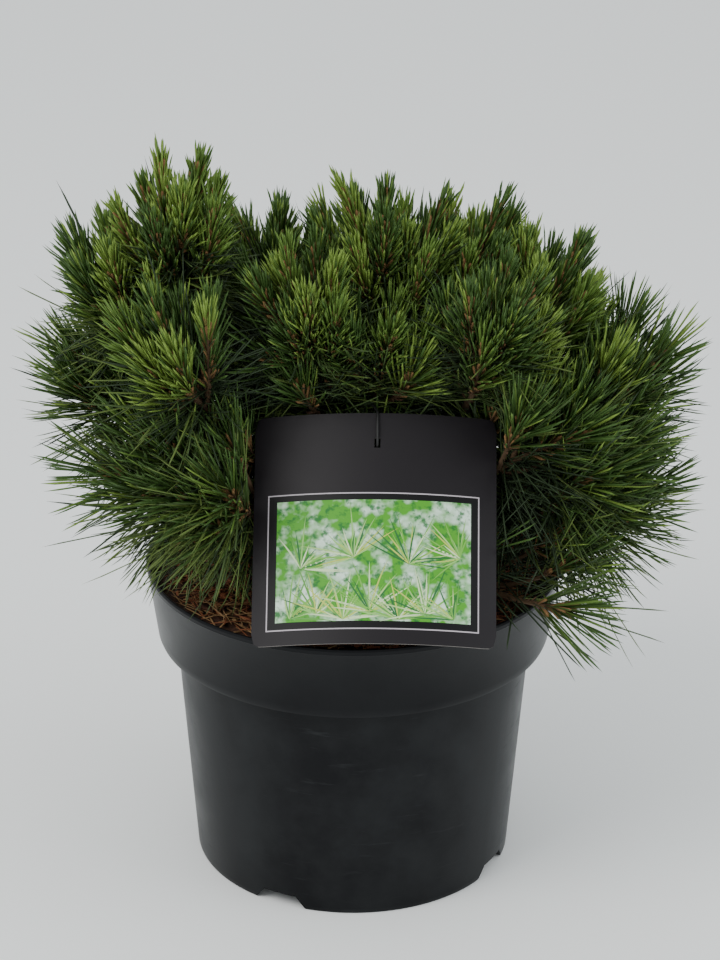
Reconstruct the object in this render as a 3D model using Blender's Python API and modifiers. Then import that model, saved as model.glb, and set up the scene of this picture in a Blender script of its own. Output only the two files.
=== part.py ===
"""Mugo pine in a black plastic nursery pot, with a blank hang card. Metres, +Z up.

The origin is the middle of the pot's flat underside, and the plant's front looks along -Y.
Each main bough and side bough is one tapering limb. Each mass of foliage is one closed solid:
twigs that branch from one stem by a seeded rule, with needles fused on.
"""

import math
import random

import bmesh
import bpy
import numpy as np
from mathutils import Matrix, Vector

# Clearance between pieces that touch on the real plant
GAP = 0.0003
MERGE_DISTANCE = 0.00002

# Pot
POT_HEIGHT = 0.165
RIM_RADIUS = 0.107
RIM_ROUND = 0.001
COLLAR_BOTTOM = 0.1237
COLLAR_BOTTOM_RADIUS = 0.1014
COLLAR_ROUND = 0.0026
BODY_TOP_RADIUS = 0.0918
FOOT_RADIUS = 0.0822
FOOT_ROUND = 0.001
WALL = 0.002
FLOOR = 0.0025
CHANNEL_HEIGHT = 0.008
PAD_RADIUS = 0.052
CHANNEL_SLOPE = 0.004
POT_STEPS = 22

# Notches in the pot's foot, and the drain hole above each
NOTCH_COUNT = 4
FIRST_NOTCH_AZIMUTH = -117.0
NOTCH_GROUND_WIDTH = 0.029
NOTCH_TOP_WIDTH = 0.018
NOTCH_HEIGHT = 0.007
DRAIN_RADIUS = 0.005
DRAIN_CENTRE_RADIUS = 0.068
DRAIN_SIDES = 8

# Growing medium, which is a low mound
SOIL_EDGE_HEIGHT = 0.1565
SOIL_TOP_HEIGHT = 0.1600
SOIL_FLAT_RADIUS = 0.030
SOIL_MIDDLE_SHARE = 0.62

# Trunk, from a flat cut at the soil to its fork
TRUNK_FOOT = Vector((0.002, 0.006, SOIL_TOP_HEIGHT + GAP))
TRUNK_FORK = Vector((0.006, 0.004, 0.214))
TRUNK_RADIUS = 0.0078
TRUNK_FORK_RADIUS = 0.0066
FLARE_EXTRA = 0.0065
FLARE_RISE = 0.010
TRUNK_POINTS = 8
TRUNK_BOW = 0.0016
FOOT_CROWDING = 1.4

# Hang card, which lies back on the front of the plant
CARD_WIDTH = 0.1195
CARD_HEIGHT = 0.1162
CARD_THICKNESS = 0.0008
CARD_CORNER = 0.0045
CARD_BOW = 0.0118
CARD_FOOT = Vector((0.0098, -0.1070, 0.1662))
CARD_LEAN = 40.0
CARD_YAW = -1.7
CARD_ROLL = -0.6
CARD_COLUMNS = 12
CORNER_STEPS = 3
SLOT_CENTRE = Vector((0.0010, 0.1010))
SLOT_WIDTH = 0.0034
SLOT_HEIGHT = 0.0054

# Loop that ties the card to a side bough
TIE_RADIUS = 0.0007
TIE_BOUGH = "centre_left"
TIE_PLACE = 0.62
TIE_CLEARANCE = 0.0006
TIE_STAND_OFF = 0.0022
TIE_RING_POINTS = 5
TIE_RING_START = 70.0
TIE_RING_SWEEP = 220.0

# Sides of each kind of limb
TRUNK_SIDES = 10
MAIN_SIDES = 6
SIDE_SIDES = 4
TWIG_SIDES = 3
TIE_SIDES = 4
BOUGH_POINTS = 5
MAIN_RADIUS = 0.0046
SIDE_RADIUS = 0.0034
TIP_RADIUS = 0.0024
BEND_RUN = 0.55
BEND_RISE = 0.25

# Twigs and needles of a mass
STEM_LENGTH = 0.092
BRUSH_LENGTH = 0.016
STEM_RADIUS = 0.0023
SHOOT_RADIUS = 0.0021
SHOOT_TIP_RADIUS = 0.0013
SHOOT_LENGTH = 0.060
SHOOT_LENGTH_RANGE = (0.85, 1.1)
SHOOT_SHORTENING = 0.5
SHOOT_ANGLE = 46.0
SHOOT_SCATTER = 8.0
SHOOT_BEND = 0.42
SHOOT_LIFT = 0.65
RIGHTING = 0.72
SHORTFALL = 0.022
WHORLS = ((0.10, 2), (0.28, 2), (0.46, 2))
WHORL_TURN = 97.0
ATTEMPT_TURN = 22.0
SHOOT_ATTEMPTS = 12
ATTEMPT_SHORTENING = 0.04
SHOOT_POINTS = 3
STEM_POINTS = 5
STEM_SEAT = 1.3
OLD_NEEDLE = 0.048
NEW_NEEDLE = 0.028
NEEDLE_HALF_WIDTH = 0.0023
NEEDLE_HALF_THICKNESS = 0.0010
NEEDLE_WIDEST = 0.32
NEEDLE_RADIUS = 0.0019
STEM_NEEDLES = 6
SHOOT_NEEDLES = 4
NEEDLE_ATTEMPTS = 5
NEEDLE_SHORTENING = 0.09
TIP_LEAN = 18.0
ROOT_LEAN = 80.0
NEEDLE_SCATTER = 6.0
TANGENT_STEP = 0.06
OLD_SHARE = 1.9
LOW_DROOP = 0.60
DROOP_HEIGHT = 0.250
SPACE_RADIUS = 0.050
FIRST_NEEDLE = 0.16
LAST_NEEDLE = 0.88
GOLDEN_ANGLE = 137.5
SPACE_MARGIN = 0.0012
LIMB_MARGIN = 0.0006
CARD_MARGIN = 0.0020
SAMPLE_STEP = 0.0025

# Each mass of foliage: name, limb that carries it, place along that limb from 0 to 1,
# and the millimetre position that the needles at the tip of its leading shoot reach
TUFTS = (
    ("left_leader", "trunk", 0.72, (-97, -15, 394)),
    ("left_low_outer", "trunk", 0.30, (-151, 5, 284)),
    ("centre_top", "trunk", 1.00, (-8, 4, 374)),
    ("right_outer_high", "trunk", 0.62, (116, 4, 344)),
    ("right_side", "trunk", 0.26, (164, -6, 288)),
    ("back", "trunk", 0.50, (-12, 136, 288)),
    ("back_low", "trunk", 0.22, (-62, 122, 214)),
    ("front_low", "trunk", 0.30, (12, -66, 214)),
    ("left_outer_high", "left_leader", 0.76, (-121, -14, 362)),
    ("back_left_high", "left_leader", 0.38, (-66, 46, 347)),
    ("left_front", "left_leader", 0.57, (-102, -62, 338)),
    ("left_low", "left_low_outer", 0.55, (-136, -46, 238)),
    ("front_left_low", "left_low_outer", 0.35, (-94, -78, 236)),
    ("centre_left", "centre_top", 0.62, (-36, -40, 357)),
    ("centre_front", "centre_top", 0.12, (20, -56, 318)),
    ("centre_left_inner", "left_leader", 0.24, (-48, -42, 300)),
    ("centre_right", "centre_top", 0.70, (46, 14, 363)),
    ("back_top", "centre_top", 0.50, (14, 66, 342)),
    ("right_high", "right_outer_high", 0.36, (75, 10, 364)),
    ("right_front_high", "right_outer_high", 0.66, (90, -47, 341)),
    ("right_low", "right_side", 0.55, (162, -26, 218)),
    ("front_right", "right_side", 0.40, (120, -62, 266)),
    ("front_right_low", "right_side", 0.25, (116, -90, 176)),
    ("right_inner", "right_side", 0.66, (150, -36, 252)),
    ("back_left", "back", 0.32, (-98, 98, 300)),
    ("back_right", "back", 0.55, (84, 112, 302)),
    ("back_right_low", "trunk", 0.36, (66, 134, 216)),
)
STEM_SHARE = 0.50
TRUNK_CLEARANCE = 0.014
ROUND_HEIGHT = 0.190
UPRIGHT_HEIGHT = 0.385
LEVEL_RISE = 8.0
MOST_RISE = 80.0

COLOURS = {
    "pot": ((0.010, 0.011, 0.012), 0.38),
    "soil": ((0.060, 0.028, 0.016), 0.95),
    "bark": ((0.085, 0.055, 0.036), 0.90),
    "needles": ((0.040, 0.090, 0.024), 0.60),
    "card": ((0.020, 0.019, 0.021), 0.45),
    "tie": ((0.012, 0.012, 0.012), 0.50),
}


def direction(azimuth, rise):
    """Unit vector at an azimuth round +Z from +X and a rise above level, in degrees."""
    flat = math.cos(math.radians(rise))
    return Vector((
        flat * math.cos(math.radians(azimuth)),
        flat * math.sin(math.radians(azimuth)),
        math.sin(math.radians(rise)),
    ))


def make_material(name):
    colour, roughness = COLOURS[name]
    material = bpy.data.materials.new(name)
    material.use_nodes = True
    shader = material.node_tree.nodes["Principled BSDF"]
    shader.inputs["Base Color"].default_value = (*colour, 1.0)
    shader.inputs["Roughness"].default_value = roughness
    shader.inputs["Metallic"].default_value = 0.0
    return material


def make_collection(name):
    collection = bpy.data.collections.new(name)
    bpy.context.scene.collection.children.link(collection)
    return collection


def object_from_bmesh(name, shape, collection, material=None):
    mesh = bpy.data.meshes.new(name)
    shape.to_mesh(mesh)
    shape.free()
    if material:
        mesh.materials.append(material)
    piece = bpy.data.objects.new(name, mesh)
    collection.objects.link(piece)
    return piece


def hide_cutter(piece):
    piece.hide_render = True
    piece.display_type = "WIRE"


def apply_modifiers(piece):
    """Put the evaluated mesh in place of the mesh and its modifiers."""
    graph = bpy.context.evaluated_depsgraph_get()
    graph.update()
    result = bpy.data.meshes.new_from_object(piece.evaluated_get(graph))
    piece.modifiers.clear()
    piece.data = result


def keep_largest_body(piece):
    """Drop loose scraps and sealed hollows that a Boolean leaves."""
    shape = bmesh.new()
    shape.from_mesh(piece.data)
    unseen = set(shape.verts)
    bodies = []
    while unseen:
        body = {unseen.pop()}
        edge_of_search = list(body)
        while edge_of_search:
            vertex = edge_of_search.pop()
            near = {link.other_vert(vertex) for link in vertex.link_edges} & unseen
            unseen -= near
            body |= near
            edge_of_search.extend(near)
        bodies.append(body)
    bodies.sort(key=len)
    loose = [vertex for body in bodies[:-1] for vertex in body]
    bmesh.ops.delete(shape, geom=loose, context="VERTS")
    shape.to_mesh(piece.data)
    shape.free()


def turned(name, profile, steps, collection, material):
    """Turn a profile of (radius, height) pairs round Z."""
    mesh = bpy.data.meshes.new(name)
    points = [(radius, 0.0, height) for radius, height in profile]
    links = [(index, index + 1) for index in range(len(points) - 1)]
    mesh.from_pydata(points, links, [])
    mesh.materials.append(material)
    piece = bpy.data.objects.new(name, mesh)
    collection.objects.link(piece)
    screw = piece.modifiers.new("turn", "SCREW")
    screw.steps = steps
    screw.render_steps = steps
    screw.use_merge_vertices = True
    screw.merge_threshold = MERGE_DISTANCE
    apply_modifiers(piece)
    return piece


def section(sides):
    """Regular outline of unit radius that a tube's bevel follows."""
    curve = bpy.data.curves.new("section", "CURVE")
    curve.dimensions = "2D"
    spline = curve.splines.new("POLY")
    spline.points.add(sides - 1)
    spline.use_cyclic_u = True
    for index, point in enumerate(spline.points):
        turn = 2 * math.pi * index / sides
        point.co = (math.cos(turn), math.sin(turn), 0.0, 1.0)
    outline = bpy.data.objects.new("section", curve)
    bpy.context.scene.collection.objects.link(outline)
    return outline


def tube(name, points, radii, sides, collection, material=None, closed=False):
    """A limb as a bevelled curve that tapers, made a mesh with welded caps."""
    outline = section(sides)
    curve = bpy.data.curves.new(name, "CURVE")
    curve.dimensions = "3D"
    curve.bevel_mode = "OBJECT"
    curve.bevel_object = outline
    curve.use_fill_caps = not closed
    spline = curve.splines.new("POLY")
    spline.points.add(len(points) - 1)
    spline.use_cyclic_u = closed
    for target, point, radius in zip(spline.points, points, radii):
        target.co = (*point, 1.0)
        target.radius = radius
    wire = bpy.data.objects.new(name, curve)
    collection.objects.link(wire)
    graph = bpy.context.evaluated_depsgraph_get()
    mesh = bpy.data.meshes.new_from_object(wire.evaluated_get(graph))
    shape = bmesh.new()
    shape.from_mesh(mesh)
    bmesh.ops.remove_doubles(shape, verts=shape.verts, dist=MERGE_DISTANCE)
    bmesh.ops.recalc_face_normals(shape, faces=shape.faces)
    shape.to_mesh(mesh)
    shape.free()
    bpy.data.objects.remove(wire)
    bpy.data.objects.remove(outline)
    mesh.name = name
    if material:
        mesh.materials.append(material)
    piece = bpy.data.objects.new(name, mesh)
    collection.objects.link(piece)
    return piece


def smooth(piece, angle=40.0):
    piece.data.shade_smooth()
    piece.data.set_sharp_from_angle(angle=math.radians(angle))


def cut(piece, cutter, solver="EXACT"):
    """Take one solid from another and keep the largest body."""
    boolean = piece.modifiers.new("cut", "BOOLEAN")
    boolean.operation = "DIFFERENCE"
    boolean.object = cutter
    boolean.solver = solver
    apply_modifiers(piece)
    keep_largest_body(piece)


# Pot and growing medium

def body_radius(height):
    """Outer radius of the pot's body below its collar."""
    return FOOT_RADIUS + (BODY_TOP_RADIUS - FOOT_RADIUS) * height / COLLAR_BOTTOM


def inner_wall():
    """Inside of the wall from the floor to the rim, as (radius, height) pairs."""
    floor_top = CHANNEL_HEIGHT + FLOOR
    return [
        (body_radius(floor_top) - WALL, floor_top),
        (BODY_TOP_RADIUS - WALL, COLLAR_BOTTOM - WALL),
        (COLLAR_BOTTOM_RADIUS - WALL, COLLAR_BOTTOM + COLLAR_ROUND),
    ]


def pot_profile():
    floor_inside = [
        (0.0, FLOOR),
        (PAD_RADIUS - WALL, FLOOR),
        (PAD_RADIUS - WALL + CHANNEL_SLOPE, CHANNEL_HEIGHT + FLOOR),
    ]
    rim = [
        (RIM_RADIUS - WALL, POT_HEIGHT),
        (RIM_RADIUS - RIM_ROUND, POT_HEIGHT),
        (RIM_RADIUS, POT_HEIGHT - RIM_ROUND),
    ]
    outside = [
        (COLLAR_BOTTOM_RADIUS, COLLAR_BOTTOM + COLLAR_ROUND),
        (COLLAR_BOTTOM_RADIUS - COLLAR_ROUND, COLLAR_BOTTOM),
        (BODY_TOP_RADIUS, COLLAR_BOTTOM - RIM_ROUND),
        (FOOT_RADIUS, FOOT_ROUND),
        (FOOT_RADIUS - FOOT_ROUND, 0.0),
    ]
    underside = [
        (FOOT_RADIUS - FOOT_ROUND - WALL, 0.0),
        (FOOT_RADIUS - FOOT_ROUND - WALL, CHANNEL_HEIGHT),
        (PAD_RADIUS + CHANNEL_SLOPE, CHANNEL_HEIGHT),
        (PAD_RADIUS, 0.0),
        (0.0, 0.0),
    ]
    return floor_inside + inner_wall() + rim + outside + underside


def notch_cutter(azimuth, collection):
    """Wedge with sloping sides that cuts one notch through the foot ring."""
    shape = bmesh.new()
    bmesh.ops.create_cube(shape, size=1.0)
    for vertex in shape.verts:
        at_top = vertex.co.z > 0
        width = NOTCH_TOP_WIDTH if at_top else NOTCH_GROUND_WIDTH
        slope = (NOTCH_GROUND_WIDTH - NOTCH_TOP_WIDTH) / NOTCH_HEIGHT
        if not at_top:
            width += slope * FOOT_ROUND
        vertex.co.x = FOOT_RADIUS + math.copysign(3 * WALL, vertex.co.x)
        vertex.co.y = math.copysign(width / 2, vertex.co.y)
        vertex.co.z = NOTCH_HEIGHT if at_top else -FOOT_ROUND
    bmesh.ops.rotate(shape, verts=shape.verts, matrix=Matrix.Rotation(math.radians(azimuth), 3, "Z"))
    cutter = object_from_bmesh("notch_cutter", shape, collection)
    hide_cutter(cutter)
    return cutter


def drain_cutter(azimuth, collection):
    centre = direction(azimuth, 0) * DRAIN_CENTRE_RADIUS
    shape = bmesh.new()
    bmesh.ops.create_cone(
        shape, cap_ends=True, segments=DRAIN_SIDES, radius1=DRAIN_RADIUS, radius2=DRAIN_RADIUS,
        depth=3 * FLOOR, matrix=Matrix.Translation((centre.x, centre.y, CHANNEL_HEIGHT + FLOOR / 2)),
    )
    cutter = object_from_bmesh("drain_cutter", shape, collection)
    hide_cutter(cutter)
    return cutter


def make_pot(parts, cutters):
    pot = turned("pot", pot_profile(), POT_STEPS, parts, make_material("pot"))
    for index in range(NOTCH_COUNT):
        azimuth = FIRST_NOTCH_AZIMUTH + index * 360.0 / NOTCH_COUNT
        cut(pot, notch_cutter(azimuth, cutters))
        cut(pot, drain_cutter(azimuth, cutters))
    smooth(pot)
    return pot


def make_soil(parts):
    """Filling of the pot, clear of its wall, with a mounded top."""
    inside = [(radius - GAP, height + GAP) for radius, height in inner_wall()]
    rise = (SOIL_EDGE_HEIGHT - inside[-1][1]) / (POT_HEIGHT - inside[-1][1])
    edge_radius = inside[-1][0] + rise * (RIM_RADIUS - COLLAR_BOTTOM_RADIUS)
    middle_radius = (edge_radius + SOIL_FLAT_RADIUS) / 2
    middle_height = SOIL_EDGE_HEIGHT + SOIL_MIDDLE_SHARE * (SOIL_TOP_HEIGHT - SOIL_EDGE_HEIGHT)
    top = [
        (0.0, SOIL_TOP_HEIGHT),
        (SOIL_FLAT_RADIUS, SOIL_TOP_HEIGHT),
        (middle_radius, middle_height),
        (edge_radius - GAP, SOIL_EDGE_HEIGHT),
    ]
    pad = [
        (PAD_RADIUS - WALL + CHANNEL_SLOPE - GAP, CHANNEL_HEIGHT + FLOOR + GAP),
        (PAD_RADIUS - WALL - GAP, FLOOR + GAP),
        (0.0, FLOOR + GAP),
    ]
    soil = turned("growing_medium", top + inside[::-1] + pad, POT_STEPS, parts, make_material("soil"))
    smooth(soil)
    return soil


# Hang card

def card_frame():
    """Directions across the card, up it and out of its face, before it is bowed."""
    yaw = math.radians(CARD_YAW)
    lean = math.radians(CARD_LEAN)
    across = Vector((math.cos(yaw), math.sin(yaw), 0.0))
    level_out = Vector((math.sin(yaw), -math.cos(yaw), 0.0))
    upward = Vector((0.0, 0.0, 1.0)) * math.cos(lean) - level_out * math.sin(lean)
    outward = level_out * math.cos(lean) + Vector((0.0, 0.0, 1.0)) * math.sin(lean)
    turn = Matrix.Rotation(math.radians(-CARD_ROLL), 3, outward)
    return turn @ across, turn @ upward, outward


def card_point(across_place, up_place, out_place=0.0):
    """World place of a point that is given on the flat card."""
    across, upward, outward = card_frame()
    bow = CARD_BOW * (1.0 - (2.0 * across_place / CARD_WIDTH) ** 2)
    return CARD_FOOT + across * across_place + upward * up_place + outward * (bow + out_place)


def behind_card(point, clearance):
    """True where a point is clear of the card and not in front of it."""
    across, upward, outward = card_frame()
    offset = point - CARD_FOOT
    across_place = offset.dot(across)
    up_place = offset.dot(upward)
    if abs(across_place) > CARD_WIDTH / 2 + clearance:
        return True
    if not -clearance < up_place < CARD_HEIGHT + clearance:
        return True
    bow = CARD_BOW * (1.0 - (2.0 * across_place / CARD_WIDTH) ** 2)
    return offset.dot(outward) < bow - clearance


def make_card(parts, cutters):
    """Card with round corners, bowed about its own upright line, with a slot near its top."""
    shape = bmesh.new()
    bmesh.ops.create_grid(shape, x_segments=CARD_COLUMNS, y_segments=1, size=0.5)
    for vertex in shape.verts:
        vertex.co.x *= CARD_WIDTH
        vertex.co.y = (vertex.co.y + 0.5) * CARD_HEIGHT
    corners = [vertex for vertex in shape.verts if len(vertex.link_edges) == 2]
    bmesh.ops.bevel(
        shape, geom=corners, offset=CARD_CORNER, segments=CORNER_STEPS, profile=0.5, affect="VERTICES",
    )
    for vertex in shape.verts:
        vertex.co = card_point(vertex.co.x, vertex.co.y)
    card = object_from_bmesh("hang_card", shape, parts, make_material("card"))
    thickness = card.modifiers.new("thickness", "SOLIDIFY")
    thickness.thickness = CARD_THICKNESS
    thickness.offset = 0.0
    apply_modifiers(card)

    across, upward, outward = card_frame()
    shape = bmesh.new()
    bmesh.ops.create_cube(shape, size=1.0)
    place = card_point(SLOT_CENTRE.x, SLOT_CENTRE.y)
    for vertex in shape.verts:
        vertex.co = (
            place + across * vertex.co.x * SLOT_WIDTH
            + upward * vertex.co.y * SLOT_HEIGHT + outward * vertex.co.z * SLOT_HEIGHT
        )
    bmesh.ops.recalc_face_normals(shape, faces=shape.faces)
    slot = object_from_bmesh("slot_cutter", shape, cutters)
    hide_cutter(slot)
    cut(card, slot)
    smooth(card)
    return card


def tie_line(plan):
    """Closed loop: through the slot, over the card's top edge and round a side bough."""
    points, radii = plan.limbs[TIE_BOUGH]
    centre = along(points, TIE_PLACE)
    limb = (along(points, TIE_PLACE + 0.05) - centre).normalized()
    slot = card_point(SLOT_CENTRE.x, SLOT_CENTRE.y)
    toward = slot - centre
    toward = (toward - limb * toward.dot(limb)).normalized()
    upward = limb.cross(toward)
    if upward.z < 0:
        upward.negate()
    ring = radii[0] + TIE_RADIUS + TIE_CLEARANCE
    place = SLOT_CENTRE.x
    line = [
        card_point(place, SLOT_CENTRE.y - SLOT_HEIGHT / 6),
        card_point(place, SLOT_CENTRE.y + SLOT_HEIGHT / 3, TIE_STAND_OFF),
        card_point(place, CARD_HEIGHT - TIE_STAND_OFF, TIE_STAND_OFF),
        card_point(place, CARD_HEIGHT + TIE_STAND_OFF, 0.0),
    ]
    for index in range(TIE_RING_POINTS):
        turn = math.radians(TIE_RING_START + TIE_RING_SWEEP * index / (TIE_RING_POINTS - 1))
        line.append(centre + (toward * math.cos(turn) + upward * math.sin(turn)) * ring)
    line.append(card_point(place, SLOT_CENTRE.y - SLOT_HEIGHT / 2, -TIE_STAND_OFF))
    return line


# Limbs

def bezier(start, bend, end, count):
    """Points along a curve that leaves start and reaches end by way of one bend."""
    points = []
    for index in range(count):
        place = index / (count - 1)
        points.append(
            start * (1 - place) ** 2 + bend * 2 * place * (1 - place) + end * place ** 2
        )
    return points


def along(points, place):
    """Point at a place from 0 to 1 along a line of points."""
    scaled = place * (len(points) - 1)
    index = min(int(scaled), len(points) - 2)
    return points[index].lerp(points[index + 1], scaled - index)


def trunk_line():
    """The trunk leaves its flat cut upright, then leans and bows a little."""
    points = []
    radii = []
    for index in range(TRUNK_POINTS):
        place = (index / (TRUNK_POINTS - 1)) ** FOOT_CROWDING
        leaning = max(index - 1, 0) / (TRUNK_POINTS - 2)
        bow = math.sin(leaning * math.pi) * TRUNK_BOW
        point = TRUNK_FOOT.lerp(TRUNK_FORK, leaning) + Vector((-bow, bow, 0.0))
        point.z = TRUNK_FOOT.z + (TRUNK_FORK.z - TRUNK_FOOT.z) * place
        rise = point.z - TRUNK_FOOT.z
        points.append(point)
        radii.append(
            TRUNK_RADIUS + (TRUNK_FORK_RADIUS - TRUNK_RADIUS) * place
            + FLARE_EXTRA * math.exp(-rise / FLARE_RISE)
        )
    return points, radii


def tuft_line(tip):
    """First and last point of a mass's stem, and the direction in which it grows,
    for a mass whose furthest needles reach the tip."""
    azimuth = math.degrees(math.atan2(tip.y - TRUNK_FORK.y, tip.x - TRUNK_FORK.x))
    upright = (tip.z - ROUND_HEIGHT) / (UPRIGHT_HEIGHT - ROUND_HEIGHT)
    rise = LEVEL_RISE + (MOST_RISE - LEVEL_RISE) * min(upright, 1.0)
    growth = direction(azimuth, rise)
    reach = math.hypot(tip.x - TRUNK_FORK.x, tip.y - TRUNK_FORK.y)
    inward = STEM_SHARE * reach + TRUNK_CLEARANCE
    length = min(STEM_LENGTH, inward / math.cos(math.radians(rise)))
    return tip - growth * length, tip - growth * BRUSH_LENGTH, growth


class Plan:
    """Where every limb and mass runs, worked out before any solid is made."""

    def __init__(self):
        points, radii = trunk_line()
        self.limbs = {"trunk": (points, radii)}
        self.parents = {}
        self.axes = {}
        self.growths = {}
        self.tips = {}
        for name, parent, place, tip_mm in TUFTS:
            furthest = Vector(tip_mm) / 1000.0
            base, tip, growth = tuft_line(furthest)
            parent_points = self.limbs[parent][0]
            start = along(parent_points, place)
            thick = MAIN_RADIUS if parent == "trunk" else SIDE_RADIUS
            run = base - start
            bend = start + Vector((run.x * BEND_RUN, run.y * BEND_RUN, run.z * BEND_RISE))
            if place == 1.0:
                onward = parent_points[-1] - parent_points[-2]
                start = start + onward.normalized() * (GAP + thick * math.sin(onward.angle(run)))
            points = bezier(start, bend, base, BOUGH_POINTS)
            radii = [
                thick + (TIP_RADIUS - thick) * index / (BOUGH_POINTS - 1)
                for index in range(BOUGH_POINTS)
            ]
            self.limbs[name] = (points, radii)
            self.parents[name] = parent
            self.axes[name] = (base, tip)
            self.growths[name] = growth
            self.tips[name] = furthest


def make_limbs(plan, parts, cutters):
    bark = make_material("bark")
    points, radii = plan.limbs["trunk"]
    trunk = tube("trunk", points, radii, TRUNK_SIDES, parts, bark)
    smooth(trunk)
    for name, parent in plan.parents.items():
        points, radii = plan.limbs[name]
        from_trunk = parent == "trunk"
        if from_trunk:
            limb = tube("main_bough_" + name, points, radii, MAIN_SIDES, parts, bark)
        else:
            limb = tube("side_bough_" + name, points, radii, SIDE_SIDES, parts, bark)
        parent_points, parent_radii = plan.limbs[parent]
        if not from_trunk or points[0].z < parent_points[-1].z:
            wide = [radius + GAP for radius in parent_radii]
            sides = TRUNK_SIDES if from_trunk else MAIN_SIDES
            cutter = tube("fork_cutter", parent_points, wide, sides, cutters)
            hide_cutter(cutter)
            cut(limb, cutter)
        smooth(limb)


# Masses of foliage

def segment_gaps(start, end, starts, ends):
    """Distance from one segment to each of many."""
    first = end - start
    others = ends - starts
    offset = start - starts
    first_square = first @ first
    other_squares = np.einsum("ij,ij->i", others, others)
    other_offsets = np.einsum("ij,ij->i", others, offset)
    first_offsets = offset @ first
    crossed = others @ first
    spread = np.maximum(first_square * other_squares - crossed ** 2, 1e-18)
    place = np.clip((crossed * other_offsets - first_offsets * other_squares) / spread, 0.0, 1.0)
    other_place = (crossed * place + other_offsets) / other_squares
    before = other_place < 0.0
    beyond = other_place > 1.0
    place = np.where(before, np.clip(-first_offsets / first_square, 0.0, 1.0), place)
    place = np.where(beyond, np.clip((crossed - first_offsets) / first_square, 0.0, 1.0), place)
    other_place = np.clip(other_place, 0.0, 1.0)
    apart = offset + place[:, None] * first - other_place[:, None] * others
    return np.linalg.norm(apart, axis=1)


class Obstacles:
    """Round-ended sticks that nothing new may come near, each with an owner."""

    def __init__(self):
        self.starts = []
        self.ends = []
        self.radii = []
        self.owners = []

    def add(self, start, end, radius, owner):
        self.starts.append(tuple(start))
        self.ends.append(tuple(end))
        self.radii.append(radius)
        self.owners.append(owner)

    def add_line(self, points, radii, owner):
        for index in range(len(points) - 1):
            thick = max(radii[index], radii[index + 1])
            self.add(points[index], points[index + 1], thick, owner)

    def clear(self, start, end, radius, margin, ignored=()):
        if not self.starts:
            return True
        gaps = segment_gaps(
            np.array(start), np.array(end), np.array(self.starts), np.array(self.ends),
        )
        gaps = gaps - np.array(self.radii) - radius
        for gap, owner in zip(gaps, self.owners):
            if gap < margin and owner not in ignored:
                return False
        return True


def over_pot(point, clearance):
    """True where a point is above the soil and clear of the pot's wall."""
    if point.z > POT_HEIGHT + clearance:
        return True
    return math.hypot(point.x, point.y) > RIM_RADIUS + clearance


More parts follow.
